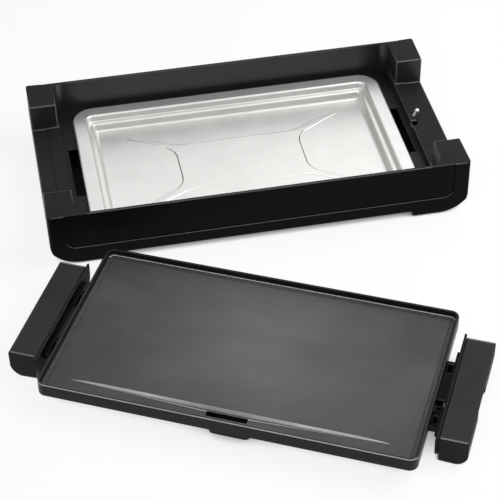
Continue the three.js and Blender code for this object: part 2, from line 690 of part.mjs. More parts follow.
// The panel pressed into the floor: a waisted oblong with a horn at each corner.
function beadOutline() {
  const tipX = BEAD_LENGTH / 2;
  const tipY = BEAD_WIDTH / 2;
  const waistX = BEAD_WAIST_LENGTH / 2;
  const waistY = BEAD_WAIST_WIDTH / 2;
  const [leave, bend] = BEAD_END_PULL;
  const [along, across] = BEAD_SIDE_PULL;
  const shape = new THREE.Shape();
  shape.moveTo(waistX, 0);
  for (const [sx, sy] of [[1, 1], [-1, 1], [-1, -1], [1, -1]]) {
    const place = (x, y) => [sx * x, sy * y];
    const tipEnd = place(tipX, tipY - BEAD_HORN);
    const tipSide = place(tipX - BEAD_HORN, tipY);
    const nearWaist = place(waistX, waistY * leave);
    const nearBend = place(waistX, waistY * bend);
    const nearHorn = place(waistX * along, waistY * across);
    const nearSide = place(waistX, waistY);
    if (sx === sy) {
      shape.bezierCurveTo(...nearWaist, ...nearBend, ...tipEnd);
      shape.lineTo(...tipSide);
      shape.bezierCurveTo(...nearHorn, ...nearSide, ...place(0, waistY));
    } else {
      shape.bezierCurveTo(...nearSide, ...nearHorn, ...tipSide);
      shape.lineTo(...tipEnd);
      shape.bezierCurveTo(...nearBend, ...nearWaist, ...place(waistX, 0));
    }
  }
  return shape;
}

function dripTray() {
  const inner = [
    [FLANGE_WIDTH + UPPER_WALL_RUN + LEDGE_RUN + LOWER_WALL_RUN + TRAY_FILLET, trayFloor],
    [FLANGE_WIDTH + UPPER_WALL_RUN + LEDGE_RUN + LOWER_WALL_RUN, trayFloor + TRAY_FILLET],
    [FLANGE_WIDTH + UPPER_WALL_RUN + LEDGE_RUN, trayFloor + TRAY_FILLET + LOWER_WALL_DROP],
    [FLANGE_WIDTH + UPPER_WALL_RUN, trayFloor + TRAY_FILLET + LOWER_WALL_DROP],
    [FLANGE_WIDTH, FLANGE_TOP - FLANGE_EDGE / 2],
    [FLANGE_WIDTH - FLANGE_EDGE, FLANGE_TOP],
  ];
  const outer = [
    [FLANGE_EDGE, FLANGE_TOP],
    [0, FLANGE_TOP - FLANGE_EDGE],
    [0, flangeFoot],
    [TRAY_SHEET, flangeFoot],
    [TRAY_SHEET + FLANGE_EDGE, FLANGE_TOP - TRAY_SHEET],
    [panInset, FLANGE_TOP - TRAY_SHEET],
  ];
  const under = inner.slice(0, 4).map(([inset, z]) => [inset - TRAY_SHEET, z - TRAY_SHEET]).reverse();
  const pan = dish(trayLength, trayWidth, TRAY_CORNER, [...inner, ...outer, ...under]);
  return join(pan, standing(beadOutline(), trayFloor - TRAY_SHEET / 2, trayFloor + BEAD_HEIGHT));
}

// ---------------------------------------------------------------- cooking plate

// The channel's section along the plate, sunk by depth from the cooking surface.
function channelOutline(depth, top) {
  const half = CHANNEL_LENGTH / 2;
  const shape = new THREE.Shape();
  shape.moveTo(-half, top);
  shape.lineTo(-half, cookTop);
  shape.lineTo(-SLOT_LENGTH / 2, cookTop - depth);
  shape.lineTo(SLOT_LENGTH / 2, cookTop - depth);
  shape.lineTo(half, cookTop);
  shape.lineTo(half, top);
  return shape;
}

// The spout along the plate: a funnel whose mouth lies a little to the right of the slot.
function spoutOutline(bottom) {
  const half = SLOT_LENGTH / 2 + SPOUT_WALL;
  const wide = SPOUT_RIGHT + SPOUT_SLOPE;
  const shape = new THREE.Shape();
  shape.moveTo(-half, plateUnderside + SINK);
  shape.lineTo(-half, channelUnderside);
  shape.lineTo(-SPOUT_LEFT, channelUnderside - half + SPOUT_LEFT);
  shape.absarc(-SPOUT_LEFT + SPOUT_CORNER, bottom + SPOUT_CORNER, SPOUT_CORNER, Math.PI, 1.5 * Math.PI);
  shape.lineTo(SPOUT_RIGHT, bottom);
  shape.lineTo(wide, bottom + SPOUT_SLOPE);
  shape.lineTo(wide, plateUnderside + SINK);
  return shape;
}

// The slot and the room in the spout under it.
function drainOutline(bottom) {
  const half = SLOT_LENGTH / 2;
  const left = SPOUT_LEFT - SPOUT_WALL;
  const right = SPOUT_RIGHT - SPOUT_WALL;
  const corners = [
    [-half, cookTop + PAST], [-half, channelUnderside], [-left, channelUnderside - half + left],
    [-left, bottom - PAST], [right, bottom - PAST], [right, channelUnderside - half + right],
    [half, channelUnderside], [half, cookTop + PAST],
  ];
  return new THREE.Shape(corners.map(([x, z]) => new THREE.Vector2(x, z)));
}

function plateShell() {
  const floorInset = RIM_THICKNESS + DISH_FILLET;
  const grooveEnd = GROOVE_INSET + GROOVE_WIDTH;
  return dish(PLATE_LENGTH, PLATE_WIDTH, PLATE_CORNER, [
    [grooveEnd, cookTop],
    [grooveEnd - GROOVE_SLOPE, cookTop - GROOVE_DEPTH],
    [GROOVE_INSET + GROOVE_SLOPE, cookTop - GROOVE_DEPTH],
    [GROOVE_INSET, cookTop],
    [floorInset, cookTop],
    [RIM_THICKNESS + DISH_DRAFT, cookTop + DISH_FILLET],
    [RIM_THICKNESS, RIM_HEIGHT - RIM_EDGE],
    [RIM_THICKNESS - RIM_EDGE, RIM_HEIGHT],
    [RIM_EDGE, RIM_HEIGHT],
    [0, RIM_HEIGHT - RIM_EDGE],
    [0, skirtBottom + RIM_EDGE],
    [RIM_EDGE, skirtBottom],
    [SKIRT_THICKNESS, skirtBottom],
    [SKIRT_THICKNESS, plateUnderside],
  ]);
}

function clampPlaces() {
  return fourPlaces(CLAMP_SPREAD / 2, elementOuterY);
}

// Each clamp bears on a cast boss on both sides of the tube, and has its screw in the outer one.
function clampScrewPlaces() {
  return clampPlaces().map(([x, y]) => [x, y + Math.sign(y) * clampBossOffset]);
}

function clampBossPlaces() {
  return clampPlaces().flatMap(([x, y]) => [[x, y - clampBossOffset], [x, y + clampBossOffset]]);
}

function plateBosses() {
  const clampBosses = clampBossPlaces().map(([x, y]) => (
    upright(CLAMP_BOSS_RADIUS, clampTop + FIT, plateUnderside + SINK, x, y)));
  const armBosses = fourPlaces(plateBossX, armMiddle).map(([x, y]) => (
    upright(BOSS_RADIUS, skirtBottom, plateUnderside + SINK, x, y)));
  return join(...clampBosses, ...armBosses);
}

function pilotHoles() {
  const clampHoles = clampScrewPlaces().map(([x, y]) => (
    upright(CLAMP_SCREW_RADIUS + FIT, clampTop - PAST, clampTop + PILOT_DEPTH, x, y)));
  const armHoles = fourPlaces(plateBossX, armMiddle).map(([x, y]) => (
    upright(SCREW_RADIUS + FIT, skirtBottom - PAST, skirtBottom + PILOT_DEPTH, x, y)));
  return join(...clampHoles, ...armHoles);
}

function griddlePlate() {
  const back = -halfPlateY + RIM_THICKNESS + CHANNEL_WIDTH;
  const front = -halfPlateY + RIM_THICKNESS;
  const trough = crosswise(
    channelOutline(CHANNEL_DEPTH + CHANNEL_FLOOR, cookTop), -halfPlateY + RIM_EDGE, back + CHANNEL_FLOOR);
  const channel = crosswise(channelOutline(CHANNEL_DEPTH, cookTop + PAST), front, back);
  const slotBack = back - FIT;
  const slotFront = slotBack - SLOT_WIDTH;
  const spoutBottom = channelUnderside - SPOUT_LENGTH;
  const spout = crosswise(
    spoutOutline(spoutBottom), slotFront - SPOUT_FRONT_WALL, slotBack + SPOUT_WALL);
  const drain = crosswise(drainOutline(spoutBottom), slotFront, slotBack);
  const inletHalf = PIN_SPACING / 2 + ELEMENT_RADIUS + ELEMENT_CLEARANCE;
  const inletGap = box(halfPlateX - SKIRT_THICKNESS - PAST, halfPlateX + PAST, -inletHalf, inletHalf,
    skirtBottom - PAST, plateUnderside);
  const body = join(plateShell(), trough, spout, plateBosses());
  return cut(body, channel, drain, inletGap, pilotHoles());
}

// One bent tube: two long runs on each side of the plate, with both ends at the inlet.
function heatingElement() {
  const half = [
    [elementEnd, PIN_SPACING / 2], [elementOuterX, PIN_SPACING / 2], [elementOuterX, elementOuterY],
    [-elementOuterX, elementOuterY], [-elementOuterX, elementInnerY], [elementInnerX, elementInnerY],
  ];
  const route = [...half, ...half.map(([x, y]) => [x, -y]).reverse()];
  const corners = route.map(([x, y]) => new THREE.Vector3(x, y, elementZ));
  return solid(bentTube(corners, ELEMENT_BEND, ELEMENT_RADIUS, ELEMENT_SIDES, ELEMENT_STEPS));
}

function elementClamps() {
  const reach = clampBossOffset + CLAMP_BOSS_RADIUS;
  return clampPlaces().map(([x, y], i) => {
    const strap = box(x - CLAMP_WIDTH / 2, x + CLAMP_WIDTH / 2, y - reach, y + reach, clampBottom, clampTop);
    const [holeX, holeY] = clampScrewPlaces()[i];
    const radius = CLAMP_SCREW_RADIUS + FIT;
    return cut(strap, upright(radius, clampBottom - PAST, clampTop + PAST, holeX, holeY));
  });
}

function clampScrews() {
  const length = FIT + CLAMP_THICKNESS + SCREW_BITE;
  return clampScrewPlaces().map(([x, y]) => (
    screw(x, y, clampBottom - FIT, length, CLAMP_SCREW_RADIUS, 2 * CLAMP_SCREW_RADIUS)));
}

// ---------------------------------------------------------------- inlet

function pinSides() {
  return [-PIN_SPACING / 2, PIN_SPACING / 2];
}

function inletHousing() {
  const half = INLET_WIDTH / 2;
  const block = box(inletInner, inletOuter, -half, half, INLET_BOTTOM, INLET_TOP);
  const roof = box(inletOuter - SINK, guardInner - FIT, -half, half, INLET_TOP - INLET_ROOF, INLET_TOP);
  const lugs = box(inletInner, inletOuter, -half - INLET_LUG, half + INLET_LUG, skirtBottom, lugTop);
  const bores = pinSides().map((y) => (
    lengthwise(INSULATOR_RADIUS + FIT, inletInner - PAST, inletOuter + PAST, y, elementZ)));
  const socket = lengthwise(SOCKET_RADIUS + FIT, inletInner - PAST, inletOuter + PAST, 0, socketZ);
  const holes = [-1, 1].map((side) => (
    upright(SCREW_RADIUS + FIT, skirtBottom - PAST, lugTop + PAST, inletMiddle, side * lugScrewY)));
  return cut(join(block, roof, lugs), ...bores, socket, ...holes);
}

// These screws stand head up, through the lugs and the arms.
function inletScrews() {
  const top = lugTop + FIT;
  return [-lugScrewY, lugScrewY].map((y) => join(
    upright(SCREW_HEAD_RADIUS, top, top + SCREW_HEAD_HEIGHT, inletMiddle, y),
    upright(SCREW_RADIUS, armBottom - FIT, top + SINK, inletMiddle, y)));
}

function inletPins() {
  return pinSides().map((y) => (
    lengthwise(PIN_RADIUS, halfPlateX - PIN_INSET, inletOuter + PIN_REACH, y, elementZ, SMALL_SIDES)));
}

function terminalInsulators() {
  return pinSides().map((y) => cut(
    lengthwise(INSULATOR_RADIUS, inletInner, inletOuter + INSULATOR_STAND, y, elementZ),
    lengthwise(PIN_RADIUS + FIT, inletInner - PAST, inletOuter + INSULATOR_STAND + PAST, y, elementZ)));
}

// A blind tube that holds the heat control's probe against the plate.
function probeSocket() {
  const start = inletOuter - SOCKET_LENGTH;
  return cut(
    lengthwise(SOCKET_RADIUS, start, inletOuter, 0, socketZ),
    lengthwise(SOCKET_BORE, start + SOCKET_END, inletOuter + PAST, 0, socketZ));
}

function inletShroud() {
  const top = SHROUD_BOTTOM + SHROUD_HEIGHT;
  const half = SHROUD_WIDTH / 2;
  return cut(
    box(shroudInner, shroudOuter, -half, half, SHROUD_BOTTOM, top),
    box(shroudInner - PAST, shroudOuter + PAST, -half + SHROUD_WALL, half - SHROUD_WALL,
      SHROUD_BOTTOM + SHROUD_WALL, top - SHROUD_WALL));
}

// ---------------------------------------------------------------- handles, drawn for the right end

// The grip's section, grown inward by inset, from its open inner side.
function gripOutline(inset) {
  const inner = gripInner - (inset > 0 ? PAST : 0);
  const outer = gripOuter - inset;
  const top = HANDLE_HEIGHT - inset;
  const belly = HANDLE_BELLY - inset;
  const edge = Math.max(HANDLE_EDGE - inset, HANDLE_INNER_EDGE);
  const shape = new THREE.Shape();
  shape.moveTo(inner, inset);
  shape.lineTo(outer - belly, inset);
  shape.absarc(outer - belly, inset + belly, belly, 1.5 * Math.PI, 2 * Math.PI);
  shape.absarc(outer - edge, top - edge, edge, 0, Math.PI / 2);
  if (inset > 0) {
    shape.lineTo(inner, top);
  } else {
    shape.absarc(inner + edge, top - edge, edge, Math.PI / 2, Math.PI);
  }
  return shape;
}

function plainGrip() {
  const half = HANDLE_LENGTH / 2;
  const shell = cut(
    crosswise(gripOutline(0), -half, half),
    crosswise(gripOutline(HANDLE_WALL), -half + HANDLE_WALL, half - HANDLE_WALL));
  const bossTop = HANDLE_HEIGHT - HANDLE_WALL + SINK;
  const bosses = [-armMiddle, armMiddle].map((y) => cut(
    upright(BOSS_RADIUS, skirtBottom, bossTop, gripBossX, y),
    upright(SCREW_RADIUS + FIT, skirtBottom - PAST, skirtBottom + PILOT_DEPTH, gripBossX, y)));
  return join(shell, ...bosses);
}

// The right grip has an opening through it, with a wall on each side, for the plug.
function inletGrip() {
  const half = TUNNEL_WIDTH / 2;
  const opening = box(gripInner - PAST, gripOuter + PAST, -half, half, -PAST, TUNNEL_HEIGHT);
  const walls = [-half - TUNNEL_WALL, half].map((y) => (
    box(gripInner, gripOuter, y, y + TUNNEL_WALL, 0, HANDLE_HEIGHT)));
  const section = crosswise(gripOutline(0), -half - TUNNEL_WALL, half + TUNNEL_WALL);
  return join(cut(plainGrip(), opening), section.intersect(join(...walls)));
}

function plainGuard() {
  const half = GUARD_LENGTH / 2;
  const top = HANDLE_HEIGHT + GUARD_RISE;
  const outline = new THREE.Shape();
  outline.moveTo(-half + 2 * GUARD_EDGE, GUARD_BOTTOM);
  outline.lineTo(half - 2 * GUARD_EDGE, GUARD_BOTTOM);
  outline.quadraticCurveTo(half, GUARD_BOTTOM, half, top - GUARD_EDGE);
  outline.lineTo(half, top);
  outline.lineTo(-half, top);
  outline.lineTo(-half, top - GUARD_EDGE);
  outline.quadraticCurveTo(-half, GUARD_BOTTOM, -half + 2 * GUARD_EDGE, GUARD_BOTTOM);
  const sheet = endwise(outline, guardInner, guardOuter);
  const railOutline = roundedRectangle(RAIL_LENGTH, RAIL_HEIGHT, RAIL_EDGE);
  const rail = endwise(railOutline, railInner, guardInner + SINK)
    .translate([0, 0, RAIL_BOTTOM + RAIL_HEIGHT / 2]);
  const slots = [-armMiddle, armMiddle].map((y) => box(railInner - PAST, guardOuter + PAST,
    y - ARM_WIDTH / 2 - FIT, y + ARM_WIDTH / 2 + FIT, armBottom - FIT, armTop + FIT));
  return cut(join(sheet, rail), ...slots);
}

function inletGuard() {
  const half = TUNNEL_WIDTH / 2;
  return cut(plainGuard(), box(railInner - PAST, guardOuter + PAST, -half, half, -PAST, TUNNEL_HEIGHT));
}

// A flat arm with a short stiffening rib, on the back or the front of a handle.
function handleArm(side) {
  const near = side * ARM_SPACING;
  const far = side * (ARM_SPACING + ARM_WIDTH);
  const flat = box(armStart, armEnd, Math.min(near, far), Math.max(near, far), armBottom, armTop);
  const middle = side * armMiddle;
  const rib = box(halfPlateX + RIB_THICKNESS / 2, railInner - FIT,
    middle - RIB_THICKNESS / 2, middle + RIB_THICKNESS / 2, armTop - SINK, armTop + RIB_HEIGHT);
  const holes = [[plateBossX, middle], [gripBossX, middle], [inletMiddle, side * lugScrewY]]
    .map(([x, y]) => upright(SCREW_RADIUS + FIT, armBottom - PAST, armTop + PAST, x, y));
  return cut(join(flat, rib), ...holes);
}

function handleScrews() {
  const length = FIT + ARM_THICKNESS + FIT + SCREW_BITE;
  return [plateBossX, gripBossX].flatMap((x) => [-armMiddle, armMiddle].map((y) => (
    screw(x, y, armBottom - FIT, length))));
}

// ---------------------------------------------------------------- assembly

function addNode(group, name, body, look) {
  const mesh = new THREE.Mesh(geometryOf(body), look);
  mesh.name = name;
  group.add(mesh);
}

// Repeated pieces, numbered from 1.
function addNodes(group, name, bodies, look) {
  bodies.forEach((body, i) => addNode(group, `${name}_${i + 1}`, body, look()));
}

function housingGroup() {
  const group = new THREE.Group();
  addNode(group, 'base_housing', baseHousing(), blackPlastic());
  addNode(group, 'heat_deck', heatDeck(), darkSteel());
  addNode(group, 'bottom_cover', bottomCover(), darkSteel());
  addNodes(group, 'cover_screw', coverScrews(), brightSteel);
  addNodes(group, 'deck_screw', deckScrews(), brightSteel);
  const feet = ['front_left', 'front_right', 'back_left', 'back_right'];
  fourPlaces(rubberX, rubberY).forEach(([x, y], i) => {
    addNode(group, `rubber_foot_${feet[i]}`, rubberFoot().translate([x, y, 0]), rubber());
  });
  addNode(group, 'safety_pin', safetyPin(), brightSteel());
  addNode(group, 'safety_pin_nut', safetyPinNut(), brightSteel());
  addNode(group, 'drip_tray', dripTray(), traySteel());
  return group;
}

function plateGroup() {
  const group = new THREE.Group();
  addNode(group, 'griddle_plate', griddlePlate(), nonStick());
  addNode(group, 'heating_element', heatingElement(), elementSteel());
  addNodes(group, 'element_clamp', elementClamps(), brightSteel);
  addNodes(group, 'clamp_screw', clampScrews(), brightSteel);
  addNode(group, 'inlet_housing', inletHousing(), guardPlastic());
  addNodes(group, 'inlet_screw', inletScrews(), brightSteel);
  addNode(group, 'inlet_shroud', inletShroud(), brightSteel());
  addNodes(group, 'inlet_pin', inletPins(), brightSteel);
  addNodes(group, 'terminal_insulator', terminalInsulators(), ceramic);
  addNode(group, 'probe_socket', probeSocket(), brightSteel());
  addNode(group, 'right_handle_grip', inletGrip(), handlePlastic());
  addNode(group, 'right_handle_guard', inletGuard(), guardPlastic());
  addNode(group, 'left_handle_grip', mirrored(plainGrip()), handlePlastic());
  addNode(group, 'left_handle_guard', mirrored(plainGuard()), guardPlastic());
  for (const [name, side] of [['front', -1], ['back', 1]]) {
    addNode(group, `right_handle_${name}_arm`, handleArm(side), darkSteel());
    addNode(group, `left_handle_${name}_arm`, mirrored(handleArm(side)), darkSteel());
  }
  addNodes(group, 'right_handle_screw', handleScrews(), brightSteel);
  addNodes(group, 'left_handle_screw', handleScrews().map(mirrored), brightSteel);
  return group;
}

// How far a corner of the turned plate reaches toward the housing.
function reachOf(x, y) {
  return x * Math.sin(-LAID_YAW) + y * Math.cos(LAID_YAW);
}

function assembly() {
  const housing = housingGroup();
  const plate = plateGroup();
  const reach = Math.max(reachOf(halfPlateX, halfPlateY), reachOf(gripOuter, HANDLE_LENGTH / 2));
  plate.position.set(LAID_SHIFT, -halfBaseY - LAID_SPACE - reach, 0);
  plate.rotation.z = LAID_YAW;
  const both = new THREE.Group();
  both.add(housing, plate);
  both.updateMatrixWorld(true);
  const middle = new THREE.Box3().setFromObject(both, true).getCenter(new THREE.Vector3());
  both.position.set(-middle.x, -middle.y, 0);
  const whole = new THREE.Group();
  whole.add(both);
  return whole;
}

export default assembly();
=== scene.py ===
"""Electric griddle taken apart: its housing with the drip tray, and its cooking plate in front."""

import json
from math import cos, pi, radians, sin, tan

import bmesh
import bpy
from mathutils import Matrix, Vector
from mathutils.geometry import tessellate_polygon


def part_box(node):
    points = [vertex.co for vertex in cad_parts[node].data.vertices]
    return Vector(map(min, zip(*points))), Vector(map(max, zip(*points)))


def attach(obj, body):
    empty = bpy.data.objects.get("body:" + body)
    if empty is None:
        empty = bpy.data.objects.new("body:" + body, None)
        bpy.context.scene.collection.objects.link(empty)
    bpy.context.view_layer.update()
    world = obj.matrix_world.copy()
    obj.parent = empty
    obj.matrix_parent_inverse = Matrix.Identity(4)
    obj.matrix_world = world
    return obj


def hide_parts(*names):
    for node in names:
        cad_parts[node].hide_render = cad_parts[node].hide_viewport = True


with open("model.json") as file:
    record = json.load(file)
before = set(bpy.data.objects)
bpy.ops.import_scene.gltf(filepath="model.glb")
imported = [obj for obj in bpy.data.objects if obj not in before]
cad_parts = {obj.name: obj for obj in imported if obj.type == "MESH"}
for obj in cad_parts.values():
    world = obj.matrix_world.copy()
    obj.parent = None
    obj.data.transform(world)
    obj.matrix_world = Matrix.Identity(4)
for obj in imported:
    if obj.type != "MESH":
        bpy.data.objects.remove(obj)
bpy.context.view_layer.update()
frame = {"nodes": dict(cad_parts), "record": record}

MM = 0.001

# ---------------------------------------------------------------- camera

TARGET = Vector((0.0119, 0.05289, 0.003))
DISTANCE = 2.18125
AZIMUTH = radians(-10.18)
ELEVATION = radians(40.862)
ROLL = radians(-1.232)
LENS = 119.82  # on the default sensor of 36


def make_camera():
    back = Vector((sin(AZIMUTH) * cos(ELEVATION), -cos(AZIMUTH) * cos(ELEVATION), sin(ELEVATION)))
    right = (-back).cross(Vector((0, 0, 1))).normalized()
    up = right.cross(-back)
    across = cos(ROLL) * right + sin(ROLL) * up
    upward = -sin(ROLL) * right + cos(ROLL) * up
    place = Matrix((across, upward, back)).transposed().to_4x4()
    place.translation = TARGET + DISTANCE * back
    data = bpy.data.cameras.new("camera")
    data.lens = LENS
    data.clip_end = 100
    camera = bpy.data.objects.new("camera", data)
    camera.matrix_world = place
    bpy.context.scene.collection.objects.link(camera)
    bpy.context.scene.camera = camera


# ---------------------------------------------------------------- sizes in mm, the CAD's and finer ones

PLATE_LENGTH, PLATE_WIDTH, PLATE_CORNER = 458, 254, 11
RIM_HEIGHT, RIM_THICKNESS = 38, 3
COOK_TOP = 29.5
RIM_FOOT = 0.6  # the rim's inner face leans this much over its height
FOOT_ROUND, TOP_ROUND = 3, 1.5  # how high and how deep the rim's rounds reach
BY_RIM = 3.5  # from the rim to where the cooking surface starts
PLATE_UNDERSIDE, SKIRT_BOTTOM, SKIRT_THICKNESS = 24.5, 19.8, 4
GROOVE_INSET, GROOVE_WIDTH, GROOVE_DEPTH = 8.5, 1.6, 0.9
GROOVE_SLOPE = 0.4  # of the groove's sides
CHANNEL_LENGTH, CHANNEL_WIDTH, CHANNEL_DEPTH, CHANNEL_FLOOR = 386, 22.5, 7, 3
CHANNEL_FOOT, CHANNEL_LEAST = 2.6, 0.06  # the round at its foot, and its depth at the ends
LIP_RUN, LIP_DEPTH = 2.8, 1.2  # the slope down into the channel, full from this depth on
LIP_DROP = 0.58  # share of the channel's depth that the slope takes
SLOT_LENGTH, SLOT_WIDTH = 50, 7
SPOUT_WALL, SPOUT_FRONT_WALL, SPOUT_BOTTOM = 3, 6, 1.5
SPOUT_LEFT, SPOUT_RIGHT, SPOUT_CORNER, SPOUT_SLOPE = 19, 26, 7, 6

NEAR_WALL = 3  # a little deeper than the panels lie in the housing's outer walls
WALL_LOW, WALL_HIGH = 3, 79  # the outer walls, between their rounds
LEDGE_TOP = 45  # the outer panel's ledge ends below this height

TRAY_LENGTH, TRAY_WIDTH, TRAY_CORNER = 441, 271, 29
FLANGE_TOP, FLANGE_FOOT, TRAY_FLOOR, TRAY_SHEET = 38, 33.3, 17.5, 1
FLANGE_WIDTH, STEP_TOP, STEP_OUTER, STEP_INNER, PAN_FOOT = 18, 29, 20.5, 27, 30
BEAD_LENGTH, BEAD_WIDTH = 310, 166
BEAD_WAIST_LENGTH, BEAD_WAIST_WIDTH, BEAD_HORN = 179, 106, 5
BEAD_NOTCH, BEAD_NOTCH_ROUND = 37.5, 27  # where an end's straight part stops, and its bend
BEAD_SHOULDER, BEAD_NECK, BEAD_BEND = (120, 74.5), 82, 60
BEAD_HEIGHT, BEAD_RUN, BEAD_STEPS = 1.6, 3.6, 4

LAID_YAW = radians(-27.36)

ELEMENT_RADIUS, ELEMENT_BEND, ELEMENT_HEIGHT = 3.5, 18, 20.7
ELEMENT_CORNERS = [(228, 12), (200, 12), (200, 72), (-200, 72), (-200, 28), (150, 28)]  # of one half
PIN_PLACE = (248.5, 15)
PIN_BOTTOM, PIN_ROOT, PIN_BALL_HEIGHT, PIN_LEAN = 35, 44, 51.8, 4
PIN_RADIUS, PIN_BALL_RADIUS = 2.2, 3.2
SCREW_RADIUS, SCREW_HEAD_RADIUS, SCREW_HEAD_HEIGHT = 1.5, 3, 1.7
CLAMP_SCREW_RADIUS = 1.2
RUBBER_RADIUS, RUBBER_TREAD, RUBBER_STEM, RUBBER_BARB = 9, 0.8, 3, 1.2
COVER_HEIGHT, BARB_HEIGHT, STEM_TIP = 11, 12.8, 15.5
CROSS_REACH, CROSS_WIDTH, CROSS_DEPTH = 0.5, 0.13, 0.55  # of a head's radius, and of its height


def centre_of(node):
    """The point on the floor under the middle of a CAD node, in m."""
    low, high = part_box(node)
    return Vector(((low.x + high.x) / 2, (low.y + high.y) / 2, 0))


HOUSING_LOW, HOUSING_HIGH = (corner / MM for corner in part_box("base_housing"))
HOUSING_PLACE = Matrix.Translation(centre_of("base_housing"))
PLATE_PLACE = Matrix.Translation(centre_of("griddle_plate")) @ Matrix.Rotation(LAID_YAW, 4, "Z")

RECORD = frame["record"]
SLOT = {part["node"]: part["material_slot"] for part in RECORD["subparts"]}
BODY = {node: body for body, nodes in RECORD["behaviour"]["bodies"].items() for node in nodes}

# ---------------------------------------------------------------- materials


def linear(code):
    """The linear colour of a hex code."""
    values = [int(code[i:i + 2], 16) / 255 for i in (0, 2, 4)]
    return [v / 12.92 if v <= 0.04045 else ((v + 0.055) / 1.055) ** 2.4 for v in values]


class Nodes:
    """A new node tree that starts from the object's own coordinates."""

    def __init__(self, name):
        self.material = bpy.data.materials.new(name)
        self.material.use_nodes = True
        self.tree = self.material.node_tree
        self.shader = self.tree.nodes["Principled BSDF"]
        self.coordinates = self.add("ShaderNodeTexCoord").outputs["Object"]

    def add(self, kind, **values):
        node = self.tree.nodes.new(kind)
        for key, value in values.items():
            setattr(node, key, value)
        return node

    def link(self, source, target):
        self.tree.links.new(source, target)

    def noise(self, size, stretch=(1, 1, 1), detail=3.0, roughness=0.5):
        """Noise whose features are about size mm across."""
        mapping = self.add("ShaderNodeMapping")
        mapping.inputs["Scale"].default_value = [1 / (size * MM * s) for s in stretch]
        self.link(self.coordinates, mapping.inputs["Vector"])
        noise = self.add("ShaderNodeTexNoise")
        noise.inputs["Scale"].default_value = 1
        noise.inputs["Detail"].default_value = detail
        noise.inputs["Roughness"].default_value = roughness
        self.link(mapping.outputs["Vector"], noise.inputs["Vector"])
        return noise.outputs["Fac"]

    def middle(self, reach):
        """1 at the object's middle, falling to 0 at these distances from it."""
        mapping = self.add("ShaderNodeMapping", vector_type="TEXTURE")
        mapping.inputs["Scale"].default_value = reach
        self.link(self.coordinates, mapping.inputs["Vector"])
        gradient = self.add("ShaderNodeTexGradient", gradient_type="QUADRATIC_SPHERE")
        self.link(mapping.outputs["Vector"], gradient.inputs["Vector"])
        return gradient.outputs["Fac"]

    def spread(self, value, low, high, start=0.3, end=0.7):
        """value, from start to end, spread over low to high."""
        node = self.add("ShaderNodeMapRange")
        for name, number in (("From Min", start), ("From Max", end), ("To Min", low), ("To Max", high)):
            node.inputs[name].default_value = number
        self.link(value, node.inputs["Value"])
        return node.outputs["Result"]

    def blend(self, factor, first, second):
        node = self.add("ShaderNodeMix", data_type="RGBA")
        for socket, colour in ((node.inputs[6], first), (node.inputs[7], second)):
            if isinstance(colour, bpy.types.NodeSocket):
                self.link(colour, socket)
            else:
                socket.default_value = [*colour, 1]
        self.link(factor, node.inputs[0])
        return node.outputs[2]

    def bump(self, height, depth, below=None):
        """Bumps up to depth mm high, over those that are already there."""
        node = self.add("ShaderNodeBump")
        node.inputs["Strength"].default_value = 1
        node.inputs["Distance"].default_value = depth * MM
        self.link(height, node.inputs["Height"])
        if below is not None:
            self.link(below, node.inputs["Normal"])
        return node.outputs["Normal"]

    def finish(self, colour, roughness, normal, metallic=0.0, specular=0.5):
        for name, source in (("Base Color", colour), ("Roughness", roughness), ("Normal", normal)):
            self.link(source, self.shader.inputs[name])
        self.shader.inputs["Metallic"].default_value = metallic
        self.shader.inputs["Specular IOR Level"].default_value = specular
        return self.material


def moulded_plastic(name, dark, light, roughness, specular, grain=0.9, depth=0.025):
    """Fine spark-eroded grain, with a broad change of tone from the mould's flow."""
    nodes = Nodes(name)
    tone = nodes.noise(60, detail=2)
    fine = nodes.noise(grain, detail=4)
    colour = nodes.blend(nodes.spread(tone, 0, 1), linear(dark), linear(light))
    speckled = nodes.blend(nodes.spread(fine, 0, 0.25), colour, linear(light))
    rough = nodes.spread(fine, roughness - 0.06, roughness + 0.06)
    return nodes.finish(speckled, rough, nodes.bump(fine, depth), specular=specular)


def sheet_metal(name, dark, light, roughness, metallic, stretch=(30, 1, 1), depth=0.004,
                specular=0.5, dulling=0.05):
    """Fine rolling lines and faint clouding."""
    nodes = Nodes(name)
    lines = nodes.noise(1.2, stretch=stretch, detail=4)
    cloud = nodes.noise(35, detail=3)
    tone = nodes.blend(nodes.spread(cloud, 0, 1), linear(dark), linear(light))
    colour = nodes.blend(nodes.spread(lines, 0, 0.5), tone, linear(light))
    rough = nodes.spread(cloud, roughness - dulling, roughness + dulling)
    return nodes.finish(colour, rough, nodes.bump(lines, depth), metallic, specular)


PAINTED_SHEEN_REACH = (0.29, 0.25, 0.2)  # in m from the plate's middle, over which a painted sheen lightens the coating


def non_stick(name):
    """A sprayed coating: fine pebbling, tiny lighter flecks, wiping streaks and faint random clouds,
    with a painted sheen that lightens the middle.
    """
    nodes = Nodes(name)
    cloud = nodes.spread(nodes.noise(70, stretch=(1.8, 1, 1), detail=3), -0.15, 0.15)
    # painted sheen: the coating is painted lighter towards the plate's middle, with random clouds added
    sheen_and_clouds = nodes.add("ShaderNodeMath", operation="ADD")
    nodes.link(nodes.middle(PAINTED_SHEEN_REACH), sheen_and_clouds.inputs[0])
    nodes.link(cloud, sheen_and_clouds.inputs[1])
    pebble = nodes.noise(0.8, detail=4, roughness=0.6)
    fleck = nodes.noise(1.6, detail=1)
    wiped = nodes.noise(2.4, stretch=(14, 1, 1), detail=3)
    tone = nodes.blend(nodes.spread(sheen_and_clouds.outputs[0], 0, 1, 0, 1), linear("434142"), linear("7d7b78"))
    flecked = nodes.blend(nodes.spread(fleck, 0, 0.35, 0.6, 0.75), tone, linear("6c6a69"))
    colour = nodes.blend(nodes.spread(wiped, 0, 0.2), flecked, linear("585655"))
    rough = nodes.spread(pebble, 0.42, 0.56)
    return nodes.finish(colour, rough, nodes.bump(pebble, 0.03), specular=0.2)


